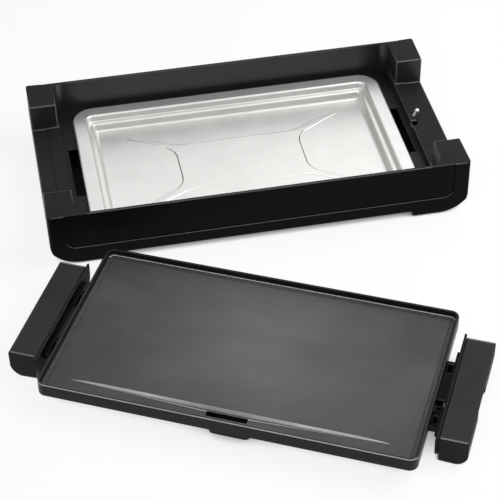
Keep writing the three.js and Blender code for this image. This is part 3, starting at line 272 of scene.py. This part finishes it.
def rubber(name):
    nodes = Nodes(name)
    dust = nodes.noise(5, detail=4)
    fine = nodes.noise(0.6, detail=3)
    colour = nodes.blend(nodes.spread(dust, 0, 1), linear("161616"), linear("242322"))
    return nodes.finish(colour, nodes.spread(fine, 0.75, 0.95), nodes.bump(fine, 0.03), specular=0.3)


def glazed_ceramic(name):
    nodes = Nodes(name)
    cloud = nodes.noise(4, detail=3)
    fine = nodes.noise(0.7, detail=2)
    colour = nodes.blend(nodes.spread(cloud, 0, 1), linear("ddd7c8"), linear("ede9de"))
    return nodes.finish(colour, nodes.spread(fine, 0.3, 0.45), nodes.bump(fine, 0.01))


def make_materials():
    return {
        "housing_plastic": moulded_plastic("housing_plastic", "1f1e1f", "272627", 0.36, 0.5, 1.2, 0.012),
        "deck_enamel": sheet_metal("deck_enamel", "151413", "1e1c1b", 0.5, 0.0, specular=0.15),
        "cover_paint": sheet_metal("cover_paint", "060606", "0c0c0c", 0.6, 0.0, specular=0.1),
        "foot_rubber": rubber("foot_rubber"),
        "tray_steel": sheet_metal("tray_steel", "d3d2d0", "dcdbd9", 0.33, 0.68, dulling=0.01),
        "non_stick_plate": non_stick("non_stick_plate"),
        "element_sheath": sheet_metal("element_sheath", "5c5750", "857f76", 0.45, 0.7, (4, 4, 1)),
        "guard_plastic": moulded_plastic("guard_plastic", "090808", "0f0e0e", 0.5, 0.04),
        "grip_plastic": moulded_plastic("grip_plastic", "282626", "353333", 0.6, 0.12, 1.8, 0.07),
        "arm_steel": sheet_metal("arm_steel", "0c0c0c", "151414", 0.5, 0.2, specular=0.2),
        "white_ceramic": glazed_ceramic("white_ceramic"),
        "pin_chrome": sheet_metal("pin_chrome", "dddcda", "eeedeb", 0.22, 0.6, (1, 1, 6), 0.001),
        "zinc_steel": sheet_metal("zinc_steel", "a9a8a2", "c9c7c0", 0.32, 0.9, (2, 2, 1)),
    }


PAINTED_LINE, PAINTED_SHADE, TOP, PAINTED_STEP_HIGHLIGHT = 1, 2, 3, 4  # places of the further finishes among a piece's materials: painted lines (highlights on most pieces, a dark line on the tray), painted shade, grained tops, painted highlights on ledges


def make_variants():
    """Further finishes: painted highlights on edges and ledges, painted shade on outsides, grained tops
    and a painted dark line on the tray's bead.
    """
    return {
        "housing_plastic": {
            # painted highlight on the rounds, painted shade on the outer walls, painted highlight on the
            # ledges
            PAINTED_LINE: moulded_plastic("housing_plastic_painted_highlight", "4a4949", "5a5958", 0.32, 0.5),
            PAINTED_SHADE: moulded_plastic("housing_plastic_painted_shade", "0b0a0a", "121111",
                                     0.42, 0.06, 1.5, 0.008),
            TOP: moulded_plastic("housing_plastic_top", "1e1d1d", "282727", 0.55, 0.08, 1.4, 0.06),
            PAINTED_STEP_HIGHLIGHT: moulded_plastic("housing_plastic_step_painted_highlight", "666463", "757372", 0.4, 0.5, 1.5, 0.01)},
        # painted highlights on the grips' and guards' rounds
        "grip_plastic": {
            PAINTED_LINE: moulded_plastic("grip_plastic_painted_highlight", "5e5b5a", "6c6a68", 0.36, 0.5, 0.8, 0.02)},
        "guard_plastic": {
            PAINTED_LINE: moulded_plastic("guard_plastic_painted_highlight", "1a1919", "232222", 0.4, 0.2)},
        # painted highlight on the channel and the rims' rounds, painted shade on the rim and walls
        "non_stick_plate": {
            PAINTED_LINE: moulded_plastic("non_stick_plate_painted_highlight", "b2b0ae", "c6c4c1", 0.32, 0.6, 1.4, 0.02),
            PAINTED_SHADE: moulded_plastic("non_stick_plate_painted_shade", "141314", "1b1a1a", 0.36, 0.2, 1.4, 0.015)},
        # painted shade: a dark line on the bead's end slopes
        "tray_steel": {
            PAINTED_LINE: sheet_metal("tray_steel_painted_shade_line", "4c4a48", "5c5a58", 0.45, 0.8, dulling=0.01)},
    }


# ---------------------------------------------------------------- mesh building blocks


ROUND_SHARE = 0.49  # the most of a side that one round may take


def filleted(corners, steps=4):
    """The path through corners (x, z, radius), with an arc at each of them that has a radius."""
    path = []
    for i, (x, z, radius) in enumerate(corners):
        if radius == 0 or i in (0, len(corners) - 1):
            path.append((x, z))
            continue
        corner = Vector((x, z))
        back = Vector(corners[i - 1][:2]) - corner
        on = Vector(corners[i + 1][:2]) - corner
        half = back.angle(on) / 2
        reach = min(radius / tan(half), ROUND_SHARE * back.length, ROUND_SHARE * on.length)
        radius = reach * tan(half)
        start, end = corner + back.normalized() * reach, corner + on.normalized() * reach
        middle = corner + (back.normalized() + on.normalized()).normalized() * (radius / sin(half))
        for step in range(steps + 1):
            share = step / steps
            way = start.lerp(end, share) - middle
            path.append(tuple(middle + way.normalized() * radius))
    return path


def rounded_rectangle(length, width, radius, steps=12):
    """Points of a rounded rectangle, counter-clockwise from above."""
    points = []
    for turn, (sx, sy) in enumerate(((1, 1), (-1, 1), (-1, -1), (1, -1))):
        for step in range(steps + 1):
            angle = (turn + step / steps) * pi / 2
            points.append((sx * (length / 2 - radius) + radius * cos(angle),
                           sy * (width / 2 - radius) + radius * sin(angle)))
    return points


def add_loop(mesh, points, z):
    return [mesh.verts.new((x * MM, y * MM, z * MM)) for x, y in points]


def bridge(mesh, first, second):
    """Faces between two closed loops of as many points each."""
    for i in range(len(first)):
        j = (i + 1) % len(first)
        mesh.faces.new((first[i], first[j], second[j], second[i]))


def swept(mesh, length, width, corner, section, least=0.6):
    """Loops of a section of (inset, z), carried round a rounded rectangle."""
    loops = [
        add_loop(mesh, rounded_rectangle(
            length - 2 * inset, width - 2 * inset, max(corner - inset, least)), z)
        for inset, z in section]
    for first, second in zip(loops, loops[1:]):
        bridge(mesh, first, second)
    return loops


def fill(mesh, *loops):
    """A flat face inside the first loop, with the other loops as holes."""
    vertices = [vertex for loop in loops for vertex in loop]
    for triangle in tessellate_polygon([[vertex.co for vertex in loop] for loop in loops]):
        mesh.faces.new([vertices[i] for i in triangle])


def prism(mesh, outline, axis, start, end):
    """An outline drawn across an axis, from start to end along it. It is drawn in the other two axes."""
    def place(a, b, along):
        values = {"X": (along, a, b), "Y": (a, along, b), "Z": (a, b, along)}[axis]
        return mesh.verts.new([v * MM for v in values])
    near = [place(a, b, start) for a, b in outline]
    far = [place(a, b, end) for a, b in outline]
    mesh.faces.new(near)
    mesh.faces.new(reversed(far))
    bridge(mesh, near, far)


def block(mesh, x0, x1, y0, y1, z0, z1):
    prism(mesh, [(x0, y0), (x1, y0), (x1, y1), (x0, y1)], "Z", z0, z1)


def tube(mesh, stations, across, sides=16):
    """Rings along a path in one plane. A station is (point, radius); across is square to the plane."""
    points = [Vector(point) for point, _ in stations]
    angles = [2 * pi * step / sides for step in range(sides)]
    rings = []
    for i, (_, radius) in enumerate(stations):
        way = (points[min(i + 1, len(points) - 1)] - points[max(i - 1, 0)]).normalized()
        side = way.cross(across)
        arms = [radius * (cos(angle) * across + sin(angle) * side) for angle in angles]
        rings.append([mesh.verts.new((points[i] + arm) * MM) for arm in arms])
    for first, second in zip(rings, rings[1:]):
        bridge(mesh, first, second)
    mesh.faces.new(rings[0])
    mesh.faces.new(reversed(rings[-1]))


def turned(mesh, profile, sides=24):
    """A profile of (radius, z), turned about the upright axis."""
    tube(mesh, [((0, 0, z), radius) for radius, z in profile], Vector((1, 0, 0)), sides)


SMOOTH_ANGLE, CARVED_ANGLE = 35, 40  # in degrees: edges that turn more are sharp in the shading


def make_object(name, mesh, place=Matrix.Identity(4)):
    bmesh.ops.recalc_face_normals(mesh, faces=mesh.faces)
    data = bpy.data.meshes.new(name)
    mesh.to_mesh(data)
    mesh.free()
    return object_of(name, data, place)


def object_of(name, data, place, smooth=SMOOTH_ANGLE):
    data.shade_smooth()
    data.set_sharp_from_angle(angle=radians(smooth))
    obj = bpy.data.objects.new(name, data)
    obj.matrix_world = place
    bpy.context.scene.collection.objects.link(obj)
    return obj


def built(name, maker):
    """A throwaway object for boolean work, made by calling maker on a new mesh."""
    mesh = bmesh.new()
    maker(mesh)
    return make_object(name, mesh)


def carved(name, base, place, steps):
    """base after the boolean steps (operation, tool). The tools and the base are used up."""
    for operation, tool in steps:
        modifier = base.modifiers.new("carve", "BOOLEAN")
        modifier.operation = operation
        modifier.solver = "EXACT"
        modifier.object = tool
    bpy.context.view_layer.update()
    shape = base.evaluated_get(bpy.context.evaluated_depsgraph_get())
    data = bpy.data.meshes.new_from_object(shape)
    for used in (base, *(tool for _, tool in steps)):
        bpy.data.objects.remove(used)
    return object_of(name, data, place, CARVED_ANGLE)


def even_shading(obj):
    """Flat faces stay flat in the shading, beside small rounds."""
    modifier = obj.modifiers.new("even", "WEIGHTED_NORMAL")
    modifier.keep_sharp = True
    modifier.weight = 100


def dress(obj, *nodes):
    """obj stands for the CAD nodes, and takes its finish and body from the first."""
    slot = SLOT[nodes[0]]
    indices = [polygon.material_index for polygon in obj.data.polygons]
    obj.data.materials.clear()
    obj.data.materials.append(MATERIALS[slot])
    for finish in (PAINTED_LINE, PAINTED_SHADE, TOP, PAINTED_STEP_HIGHLIGHT):
        obj.data.materials.append(VARIANTS.get(slot, {}).get(finish, MATERIALS[slot]))
    obj.data.polygons.foreach_set("material_index", indices)
    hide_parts(*nodes)
    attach(obj, BODY[nodes[0]])


def finished(obj, finish, chosen):
    """Gives the finish to the faces that chosen(middle in mm, normal) picks, in the mesh's own frame."""
    for polygon in obj.data.polygons:
        if chosen(polygon.center / MM, polygon.normal):
            polygon.material_index = finish


def reach_of(face, edge):
    """How far a face reaches from one of its edges."""
    start, way = edge.verts[0].co, (edge.verts[1].co - edge.verts[0].co).normalized()
    return max((v.co - start - way * way.dot(v.co - start)).length for v in face.verts)


BEVEL_ANGLE, BEVEL_EDGE = radians(32), 4  # edges that turn less, or are shorter in mm, stay sharp
BEVEL_SHARE = 0.4  # the most of a face's reach that a round takes


def softened(node, width, least=0.0):
    """A CAD node's shape with round edges, less so by a narrow face, and sharp by one under least mm."""
    mesh = bmesh.new()
    mesh.from_mesh(frame["nodes"][node].data)
    bmesh.ops.remove_doubles(mesh, verts=mesh.verts, dist=1e-6)
    bmesh.ops.dissolve_limit(
        mesh, angle_limit=radians(0.5), verts=mesh.verts, edges=mesh.edges, delimit=set())
    weights = mesh.edges.layers.float.new("bevel_weight_edge")
    for edge in mesh.edges:
        if len(edge.link_faces) == 2 and edge.calc_face_angle() > BEVEL_ANGLE:
            room = min(reach_of(face, edge) for face in edge.link_faces)
            if edge.calc_length() > BEVEL_EDGE * MM and room >= least * MM:
                edge[weights] = min(1, BEVEL_SHARE * room / (width * MM))
    data = bpy.data.meshes.new(node + "_detail")
    mesh.to_mesh(data)
    mesh.free()
    if "custom_normal" in data.attributes:
        data.attributes.remove(data.attributes["custom_normal"])
    obj = object_of(node + "_detail", data, Matrix.Identity(4))
    bevel = obj.modifiers.new("rounded", "BEVEL")
    bevel.limit_method = "WEIGHT"
    bevel.width = width * MM
    bevel.segments = 3
    bevel.use_clamp_overlap = False
    # the rounds take the piece's painted-line finish, a painted highlight on the housing, grips and
    # guards
    bevel.material = PAINTED_LINE
    even_shading(obj)
    dress(obj, node)
    return obj


# ---------------------------------------------------------------- housing


def near_side(middle, axis):
    """True about as deep in the housing as its panels lie, from either side across an axis."""
    depth = min(middle[axis] - HOUSING_LOW[axis], HOUSING_HIGH[axis] - middle[axis])
    return depth < NEAR_WALL


def in_long_wall(middle):
    """True in the two long outer walls, between their rounds."""
    return near_side(middle, 1) and WALL_LOW < middle.z < WALL_HIGH


def outer_wall(middle, normal):
    """True on the four outer walls of the housing, with their recesses."""
    long_side = near_side(middle, 1) and abs(normal.y) > 0.3
    short_side = near_side(middle, 0) and abs(normal.x) > 0.3
    return in_long_wall(middle) or long_side or short_side


def panel_ledge(middle, normal):
    """True on the lower ledges of the panels."""
    return in_long_wall(middle) and abs(normal.y) < 0.3 and normal.z > 0.25


def base_housing():
    """Narrow faces, such as the panels' ledges, stay sharp."""
    housing = softened("base_housing", 1.4, least=2)
    finished(housing, TOP, lambda middle, normal: normal.z > 0.7)
    # painted shade darkens the outer walls; painted highlights lighten the panels' ledges
    finished(housing, PAINTED_SHADE, outer_wall)
    finished(housing, PAINTED_LINE, panel_ledge)
    finished(housing, PAINTED_STEP_HIGHLIGHT, lambda middle, normal: middle.z < LEDGE_TOP and panel_ledge(middle, normal))


# ---------------------------------------------------------------- drip tray


def bead_outline():
    """A waisted oblong with a horn at each corner, counter-clockwise."""
    tip_x, tip_y = BEAD_LENGTH / 2, BEAD_WIDTH / 2
    waist_x, waist_y = BEAD_WAIST_LENGTH / 2, BEAD_WAIST_WIDTH / 2
    quarter = [Vector(p) for p in filleted([
        (waist_x, 0, 0), (waist_x, BEAD_NOTCH, BEAD_NOTCH_ROUND), (tip_x, tip_y - BEAD_HORN, 3),
        (tip_x - BEAD_HORN, tip_y, 3), (*BEAD_SHOULDER, BEAD_BEND), (BEAD_NECK, waist_y, BEAD_BEND),
        (0, waist_y, 0)], steps=10)]
    mirrored = [Vector((-p.x, p.y)) for p in reversed(quarter[1:-1])]
    half = quarter + mirrored
    return half + [Vector((-waist_x, 0))] + [Vector((-p.x, -p.y)) for p in half[1:]]


def moved_in(outline, distance, closed=True):
    """A counter-clockwise outline moved inward, or an open path moved to its left."""
    points = [Vector(p) for p in outline]
    sides = [(b - a).normalized() for a, b in zip(points, points[1:] + points[:1])]
    normals = [Vector((-way.y, way.x)) for way in sides]
    moved = []
    for i, point in enumerate(points):
        before, after = normals[i - 1], normals[i]
        if not closed and i == 0:
            before = after
        if not closed and i == len(points) - 1:
            after = before
        total = before + after
        moved.append(point + total * (2 * distance / total.length_squared))
    return moved


def painted_shade_slopes(middle, normal):
    """True on the slopes at the two ends of the bead, which are painted darker as painted shade."""
    on_bead = TRAY_FLOOR < middle.z < TRAY_FLOOR + BEAD_HEIGHT and abs(middle.x) < BEAD_LENGTH / 2
    return on_bead and abs(normal.x) > 0.12 and abs(normal.y) < 0.2


def drip_tray():
    mesh = bmesh.new()
    section = filleted([
        (PAN_FOOT + 12, TRAY_FLOOR, 0), (PAN_FOOT, TRAY_FLOOR, 5), (STEP_INNER, STEP_TOP, 2.4),
        (STEP_OUTER, STEP_TOP, 2.6), (FLANGE_WIDTH, FLANGE_TOP, 2.4), (0, FLANGE_TOP, 1.6),
        (0, FLANGE_FOOT, 0)], steps=6)
    loops = swept(mesh, TRAY_LENGTH, TRAY_WIDTH, TRAY_CORNER, section, least=2)
    bead = bead_outline()
    levels = []
    for step in range(BEAD_STEPS + 1):
        share = step / BEAD_STEPS
        rise = (1 - cos(share * pi)) / 2 * BEAD_HEIGHT
        levels.append(add_loop(mesh, moved_in(bead, share * BEAD_RUN), TRAY_FLOOR + rise))
    for first, second in zip(levels, levels[1:]):
        bridge(mesh, first, second)
    fill(mesh, loops[0], levels[0])
    fill(mesh, levels[-1])
    below = moved_in(section, -TRAY_SHEET, False)
    under = swept(mesh, TRAY_LENGTH, TRAY_WIDTH, TRAY_CORNER, below, least=2)
    bridge(mesh, loops[-1], under[-1])
    fill(mesh, under[0])
    tray = make_object("drip_tray_detail", mesh, HOUSING_PLACE)
    # painted shade: a dark line on the bead's end slopes
    finished(tray, PAINTED_LINE, painted_shade_slopes)
    even_shading(tray)
    dress(tray, "drip_tray")


# ---------------------------------------------------------------- cooking plate


def plate_body(mesh):
    groove_end = GROOVE_INSET + GROOVE_WIDTH
    groove_floor = COOK_TOP - GROOVE_DEPTH
    section = filleted([
        (groove_end + 3, COOK_TOP, 0), (groove_end, COOK_TOP, 0.4),
        (groove_end - GROOVE_SLOPE, groove_floor, 0.3), (GROOVE_INSET + GROOVE_SLOPE, groove_floor, 0.3),
        (GROOVE_INSET, COOK_TOP, 0.4), (RIM_THICKNESS + RIM_FOOT, COOK_TOP, 3.6),
        (RIM_THICKNESS, RIM_HEIGHT, 1.1), (0, RIM_HEIGHT, 1.1),
        (0, SKIRT_BOTTOM, 0.9), (SKIRT_THICKNESS, SKIRT_BOTTOM, 0.6),
        (SKIRT_THICKNESS, PLATE_UNDERSIDE, 1), (SKIRT_THICKNESS + 4, PLATE_UNDERSIDE, 0)], steps=5)
    loops = swept(mesh, PLATE_LENGTH, PLATE_WIDTH, PLATE_CORNER, section, least=1)
    mesh.faces.new(loops[0])
    mesh.faces.new(reversed(loops[-1]))


CHANNEL_UNDER = COOK_TOP - CHANNEL_DEPTH - CHANNEL_FLOOR
CHANNEL_BACK = -PLATE_WIDTH / 2 + RIM_THICKNESS + CHANNEL_WIDTH
CHANNEL_FRONT = -PLATE_WIDTH / 2 + RIM_THICKNESS + RIM_FOOT
SLOT_BACK = CHANNEL_BACK - 0.3
SLOT_FRONT = SLOT_BACK - SLOT_WIDTH


def channel_hollow(mesh):
    """The channel's own room: deepest along the slot, and running out at both ends."""
    sections = []
    above, behind = COOK_TOP + 3, CHANNEL_BACK + 9
    half, flat = CHANNEL_LENGTH / 2, SLOT_LENGTH / 2
    stations = [-half, -0.93 * half, -0.8 * half, -0.6 * half, -0.4 * half, -flat - 6, -flat]
    stations += [-x for x in reversed(stations)]
    for x in stations:
        depth = max(CHANNEL_DEPTH * min(1, (half - abs(x)) / (half - flat)), CHANNEL_LEAST)
        foot = min(CHANNEL_FOOT, 0.38 * depth)
        drop, run = LIP_DROP * depth, LIP_RUN * min(1, depth / LIP_DEPTH) ** 0.5
        path = filleted([
            (CHANNEL_FRONT, above, 0), (CHANNEL_FRONT, COOK_TOP - depth, min(1.8, 0.5 * depth)),
            (CHANNEL_BACK, COOK_TOP - depth, foot), (CHANNEL_BACK, COOK_TOP - drop, 0.5 * drop),
            (CHANNEL_BACK + run, COOK_TOP + 0.04, 1), (behind, COOK_TOP + 0.1, 0),
            (behind, above, 0)], steps=5)
        sections.append([mesh.verts.new((x * MM, y * MM, z * MM)) for y, z in path])
    for first, second in zip(sections, sections[1:]):
        bridge(mesh, first, second)
    mesh.faces.new(sections[0])
    mesh.faces.new(reversed(sections[-1]))


def trough(mesh):
    """The thickening under the channel."""
    half, flat = CHANNEL_LENGTH / 2, SLOT_LENGTH / 2
    top = COOK_TOP - 1
    outline = [(-half, top), (-flat, CHANNEL_UNDER), (flat, CHANNEL_UNDER), (half, top)]
    prism(mesh, outline, "Y", -PLATE_WIDTH / 2 + 1, CHANNEL_BACK + CHANNEL_FLOOR)


def spout(mesh):
    """A funnel whose mouth has a round corner on the left and a sloped one on the right."""
    half, wide, top = SLOT_LENGTH / 2 + SPOUT_WALL, SPOUT_RIGHT + SPOUT_SLOPE, PLATE_UNDERSIDE + 1
    outline = filleted([
        (-half, top, 0), (-half, CHANNEL_UNDER, 3), (-SPOUT_LEFT, CHANNEL_UNDER - half + SPOUT_LEFT, 3),
        (-SPOUT_LEFT, SPOUT_BOTTOM, SPOUT_CORNER), (SPOUT_RIGHT, SPOUT_BOTTOM, 1.5),
        (wide, SPOUT_BOTTOM + SPOUT_SLOPE, 2), (wide, top, 0)], steps=6)
    prism(mesh, outline, "Y", SLOT_FRONT - SPOUT_FRONT_WALL, SLOT_BACK + SPOUT_WALL)


def slot_room(mesh):
    """The slot and the room in the spout under it."""
    half, top, bottom = SLOT_LENGTH / 2, COOK_TOP - 4, SPOUT_BOTTOM - 1
    left, right = SPOUT_LEFT - SPOUT_WALL, SPOUT_RIGHT - SPOUT_WALL
    outline = [
        (-half, top), (-half, CHANNEL_UNDER), (-left, CHANNEL_UNDER - half + left), (-left, bottom),
        (right, bottom), (right, CHANNEL_UNDER - half + right), (half, CHANNEL_UNDER), (half, top)]
    prism(mesh, outline, "Y", SLOT_FRONT, SLOT_BACK)


def lip(middle, normal):
    """True on the rounds painted lighter as a painted highlight: the channel, the back rim's foot, the
    front rim's top.
    """
    on_channel = abs(middle.x) < CHANNEL_LENGTH / 2 and CHANNEL_FRONT < middle.y < CHANNEL_BACK + LIP_RUN
    on_back = middle.y > 0 and COOK_TOP < middle.z < COOK_TOP + FOOT_ROUND and 0.5 < normal.z < 0.9
    on_front = middle.y < 0 and middle.z > RIM_HEIGHT - TOP_ROUND
    if on_channel:
        return normal.y < -0.03 and normal.z > 0.12
    return normal.y < -0.2 and 0.12 < normal.z < 0.97 and (on_back or on_front)


def off_top(middle, normal):
    """True on everything but the cooking surface and the channel in it."""
    rim = RIM_THICKNESS + BY_RIM
    by_rim = abs(middle.x) > PLATE_LENGTH / 2 - rim or abs(middle.y) > PLATE_WIDTH / 2 - rim
    off_floor = abs(normal.z) < 0.9 or middle.z > COOK_TOP + 0.5
    return (by_rim and off_floor) or middle.z < COOK_TOP - CHANNEL_DEPTH - 0.5


def griddle_plate():
    steps = [
        ("UNION", built("trough", trough)), ("UNION", built("spout", spout)),
        ("DIFFERENCE", built("channel", channel_hollow)), ("DIFFERENCE", built("slot", slot_room))]
    plate = carved("griddle_plate_detail", built("body", plate_body), PLATE_PLACE, steps)
    # painted shade darkens the rim and the walls; a painted highlight lightens the channel and the rims'
    # rounds
    finished(plate, PAINTED_SHADE, off_top)
    finished(plate, PAINTED_LINE, lip)
    even_shading(plate)
    dress(plate, "griddle_plate")


# ---------------------------------------------------------------- element, pin, screws and feet


def heating_element():
    mesh = bmesh.new()
    half = [(x, y, ELEMENT_BEND) for x, y in ELEMENT_CORNERS]
    route = filleted(half + [(x, -y, bend) for x, y, bend in reversed(half)], steps=8)
    tube(mesh, [((x, y, ELEMENT_HEIGHT), ELEMENT_RADIUS) for x, y in route], Vector((0, 0, 1)))
    dress(make_object("heating_element_detail", mesh, PLATE_PLACE), "heating_element")


def safety_pin():
    """A shank that leans outward over a short bend, and swells into a ball."""
    top = Vector((PIN_LEAN, 0, PIN_BALL_HEIGHT))
    bend = Vector((0, 0, PIN_ROOT))
    way = (top - bend).normalized()
    path = filleted([(0, PIN_BOTTOM, 0), (0, PIN_ROOT, 5), (top.x, top.z, 0)], steps=6)[:-1]
    stations = [((x, 0, z), PIN_RADIUS) for x, z in path]
    neck = -(PIN_BALL_RADIUS ** 2 - PIN_RADIUS ** 2) ** 0.5
    for step in range(11):
        along = neck + (0.97 * PIN_BALL_RADIUS - neck) * sin(step / 10 * pi / 2)
        stations.append((top + along * way, (PIN_BALL_RADIUS ** 2 - along ** 2) ** 0.5))
    mesh = bmesh.new()
    tube(mesh, stations, Vector((0, 1, 0)), 20)
    place = HOUSING_PLACE @ Matrix.Translation(Vector((*PIN_PLACE, 0)) * MM)
    dress(make_object("safety_pin_detail", mesh, place), "safety_pin")


def screw(node, radius, head, head_up):
    """A pan head screw with a cross recess. Each one is turned by as much as its place says."""
    low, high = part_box(node)
    length = (high.z - low.z) / MM
    profile = [
        (0.55 * head, 0), (0.85 * head, 0.22 * SCREW_HEAD_HEIGHT), (head, 0.65 * SCREW_HEAD_HEIGHT),
        (head, SCREW_HEAD_HEIGHT), (radius, SCREW_HEAD_HEIGHT), (radius, length - radius),
        (0.4 * radius, length)]
    base = built("screw", lambda mesh: turned(mesh, profile))
    reach, width = CROSS_REACH * head, CROSS_WIDTH * head
    cross = SCREW_HEAD_HEIGHT * CROSS_DEPTH
    slots = [
        built("slot", lambda mesh: block(mesh, -reach, reach, -width, width, -1, cross)),
        built("slot", lambda mesh: block(mesh, -width, width, -reach, reach, -1, cross))]
    head_z = high.z if head_up else low.z
    place = Matrix.Translation(centre_of(node) + Vector((0, 0, head_z)))
    if head_up:
        place = place @ Matrix.Rotation(pi, 4, "X")
    place = place @ Matrix.Rotation(centre_of(node).x * 40, 4, "Z")
    obj = carved(node + "_detail", base, place, [("DIFFERENCE", slot) for slot in slots])
    dress(obj, node)
    return obj


def screws():
    """All of them lie head down but the inlet's, which are blackened."""
    for node in SLOT:
        if node.startswith("clamp_screw"):
            screw(node, CLAMP_SCREW_RADIUS, 2 * CLAMP_SCREW_RADIUS, head_up=False)
        elif node.startswith("inlet_screw"):
            blackened = screw(node, SCREW_RADIUS, SCREW_HEAD_RADIUS, head_up=True)
            blackened.data.materials[0] = MATERIALS["arm_steel"]
        elif "_screw" in node:
            screw(node, SCREW_RADIUS, SCREW_HEAD_RADIUS, head_up=False)


def rubber_foot(node):
    """A turned foot with a hollow tread and a stem that snaps through the cover."""
    mesh = bmesh.new()
    turned(mesh, filleted([
        (0.2, RUBBER_TREAD, 0), (RUBBER_RADIUS - 3.5, RUBBER_TREAD, 0.5), (RUBBER_RADIUS - 2.6, 0, 0.5),
        (RUBBER_RADIUS - 0.2, 0, 1.2), (RUBBER_RADIUS, 1.4, 1), (RUBBER_RADIUS - 1, COVER_HEIGHT, 0.8),
        (RUBBER_STEM, COVER_HEIGHT, 0), (RUBBER_STEM, BARB_HEIGHT, 0),
        (RUBBER_STEM + RUBBER_BARB, BARB_HEIGHT, 0.4), (RUBBER_STEM / 2, STEM_TIP, 0)]), 32)
    dress(make_object(node + "_detail", mesh, Matrix.Translation(centre_of(node))), node)


def rubber_feet():
    for node in SLOT:
        if node.startswith("rubber_foot"):
            rubber_foot(node)


# ---------------------------------------------------------------- the other pieces

ROUNDS = {  # what a node's name holds, and the width of its rounds in mm
    "heat_deck": 0.5, "bottom_cover": 0.5, "_arm": 0.5, "handle_grip": 2.2, "handle_guard": 0.8,
    "inlet_housing": 1.2, "inlet_shroud": 0.3, "element_clamp": 0.4, "safety_pin_nut": 0.6}


def rounded_pieces():
    """CAD shapes that only need round edges."""
    for node in SLOT:
        for part, width in ROUNDS.items():
            if part in node:
                softened(node, width)


# ---------------------------------------------------------------- studio


def lamp(name, place, aim, width, height, power):
    data = bpy.data.lights.new(name, "AREA")
    data.shape = "RECTANGLE"
    data.size, data.size_y = width, height
    data.energy = power
    obj = bpy.data.objects.new(name, data)
    obj.location = place
    obj.rotation_mode = "QUATERNION"
    obj.rotation_quaternion = (Vector(aim) - Vector(place)).to_track_quat("-Z", "Y")
    bpy.context.scene.collection.objects.link(obj)


def shown_ray(tree):
    """1 for a ray from the camera, off metal or through glass, which sees the white background."""
    path = tree.nodes.new("ShaderNodeLightPath")
    total = path.outputs["Is Camera Ray"]
    for name in ("Is Glossy Ray", "Is Transmission Ray"):
        node = tree.nodes.new("ShaderNodeMath")
        node.operation = "MAXIMUM"
        tree.links.new(total, node.inputs[0])
        tree.links.new(path.outputs[name], node.inputs[1])
        total = node.outputs[0]
    return total


def scaled(tree, value, low, high, start=0.0, end=1.0):
    """value, from start to end, spread over low to high."""
    node = tree.nodes.new("ShaderNodeMapRange")
    node.inputs["From Min"].default_value = start
    node.inputs["From Max"].default_value = end
    node.inputs["To Min"].default_value = low
    node.inputs["To Max"].default_value = high
    tree.links.new(value, node.inputs["Value"])
    return node.outputs["Result"]


WORLD_LIGHT, WORLD_SHOWN = 0.12, 1.0  # as it lights matt surfaces, and as it is seen


def make_world():
    world = bpy.data.worlds.new("studio")
    world.use_nodes = True
    bpy.context.scene.world = world
    tree = world.node_tree
    background = tree.nodes["Background"]
    background.inputs["Color"].default_value = (1, 1, 1, 1)
    strength = scaled(tree, shown_ray(tree), WORLD_LIGHT, WORLD_SHOWN)
    tree.links.new(strength, background.inputs["Strength"])


FLOOR_REACH, FLOOR_DROP = 12, 0.0004  # its half length, and its gap under the object
FLOOR_TONE, FLOOR_GLOW = 0.18, 0.85
SHADE_REACH = 0.04  # the floor is dark where it is covered within this height, as under the housing
SHADE_FULL, SHADE_NONE = 0.05, 0.45  # open shares of the sky: dark up to the first, clear from the next


def make_floor():
    """A pale floor that is white to the camera and keeps the object's shadow."""
    mesh = bmesh.new()
    bmesh.ops.create_grid(mesh, x_segments=1, y_segments=1, size=FLOOR_REACH)
    floor = make_object("floor", mesh, Matrix.Translation((0, 0, -FLOOR_DROP)))
    material = bpy.data.materials.new("floor")
    material.use_nodes = True
    tree = material.node_tree
    tree.nodes.remove(tree.nodes["Principled BSDF"])
    diffuse = tree.nodes.new("ShaderNodeBsdfDiffuse")
    diffuse.inputs["Color"].default_value = (FLOOR_TONE, FLOOR_TONE, FLOOR_TONE, 1)
    glow = tree.nodes.new("ShaderNodeEmission")
    both = tree.nodes.new("ShaderNodeAddShader")
    tree.links.new(scaled(tree, shown_ray(tree), 0, FLOOR_GLOW), glow.inputs["Strength"])
    shade = tree.nodes.new("ShaderNodeAmbientOcclusion")
    shade.inputs["Distance"].default_value = SHADE_REACH
    open_sky = scaled(tree, shade.outputs["AO"], 0, 1, SHADE_FULL, SHADE_NONE)
    tree.links.new(open_sky, glow.inputs["Color"])
    tree.links.new(diffuse.outputs[0], both.inputs[0])
    tree.links.new(glow.outputs[0], both.inputs[1])
    tree.links.new(both.outputs[0], tree.nodes["Material Output"].inputs["Surface"])
    floor.data.materials.append(material)


def make_studio():
    bpy.context.scene.view_settings.view_transform = "Standard"
    make_world()
    make_floor()
    lamp("overhead", (1.2, 0, 1.35), (0.1, 0, 0), 1.6, 1.4, 22)
    lamp("sheen", (0.6, 2.1, 2.4), (0, -0.15, 0), 1.4, 0.8, 5)
    lamp("back", (1.25, 2.0, 1.5), (0.1, 0.2, 0), 1.4, 1.2, 2.5)
    lamp("front", (-0.9, -1.4, 1.85), (0, 0, 0), 1.4, 0.7, 16)


# ---------------------------------------------------------------- the scene

make_camera()
MATERIALS = make_materials()
VARIANTS = make_variants()
for name, node in frame["nodes"].items():
    node.data.materials.clear()
    node.data.materials.append(MATERIALS[SLOT[name]])

base_housing()
drip_tray()
griddle_plate()
heating_element()
safety_pin()
screws()
rubber_feet()
rounded_pieces()
make_studio()
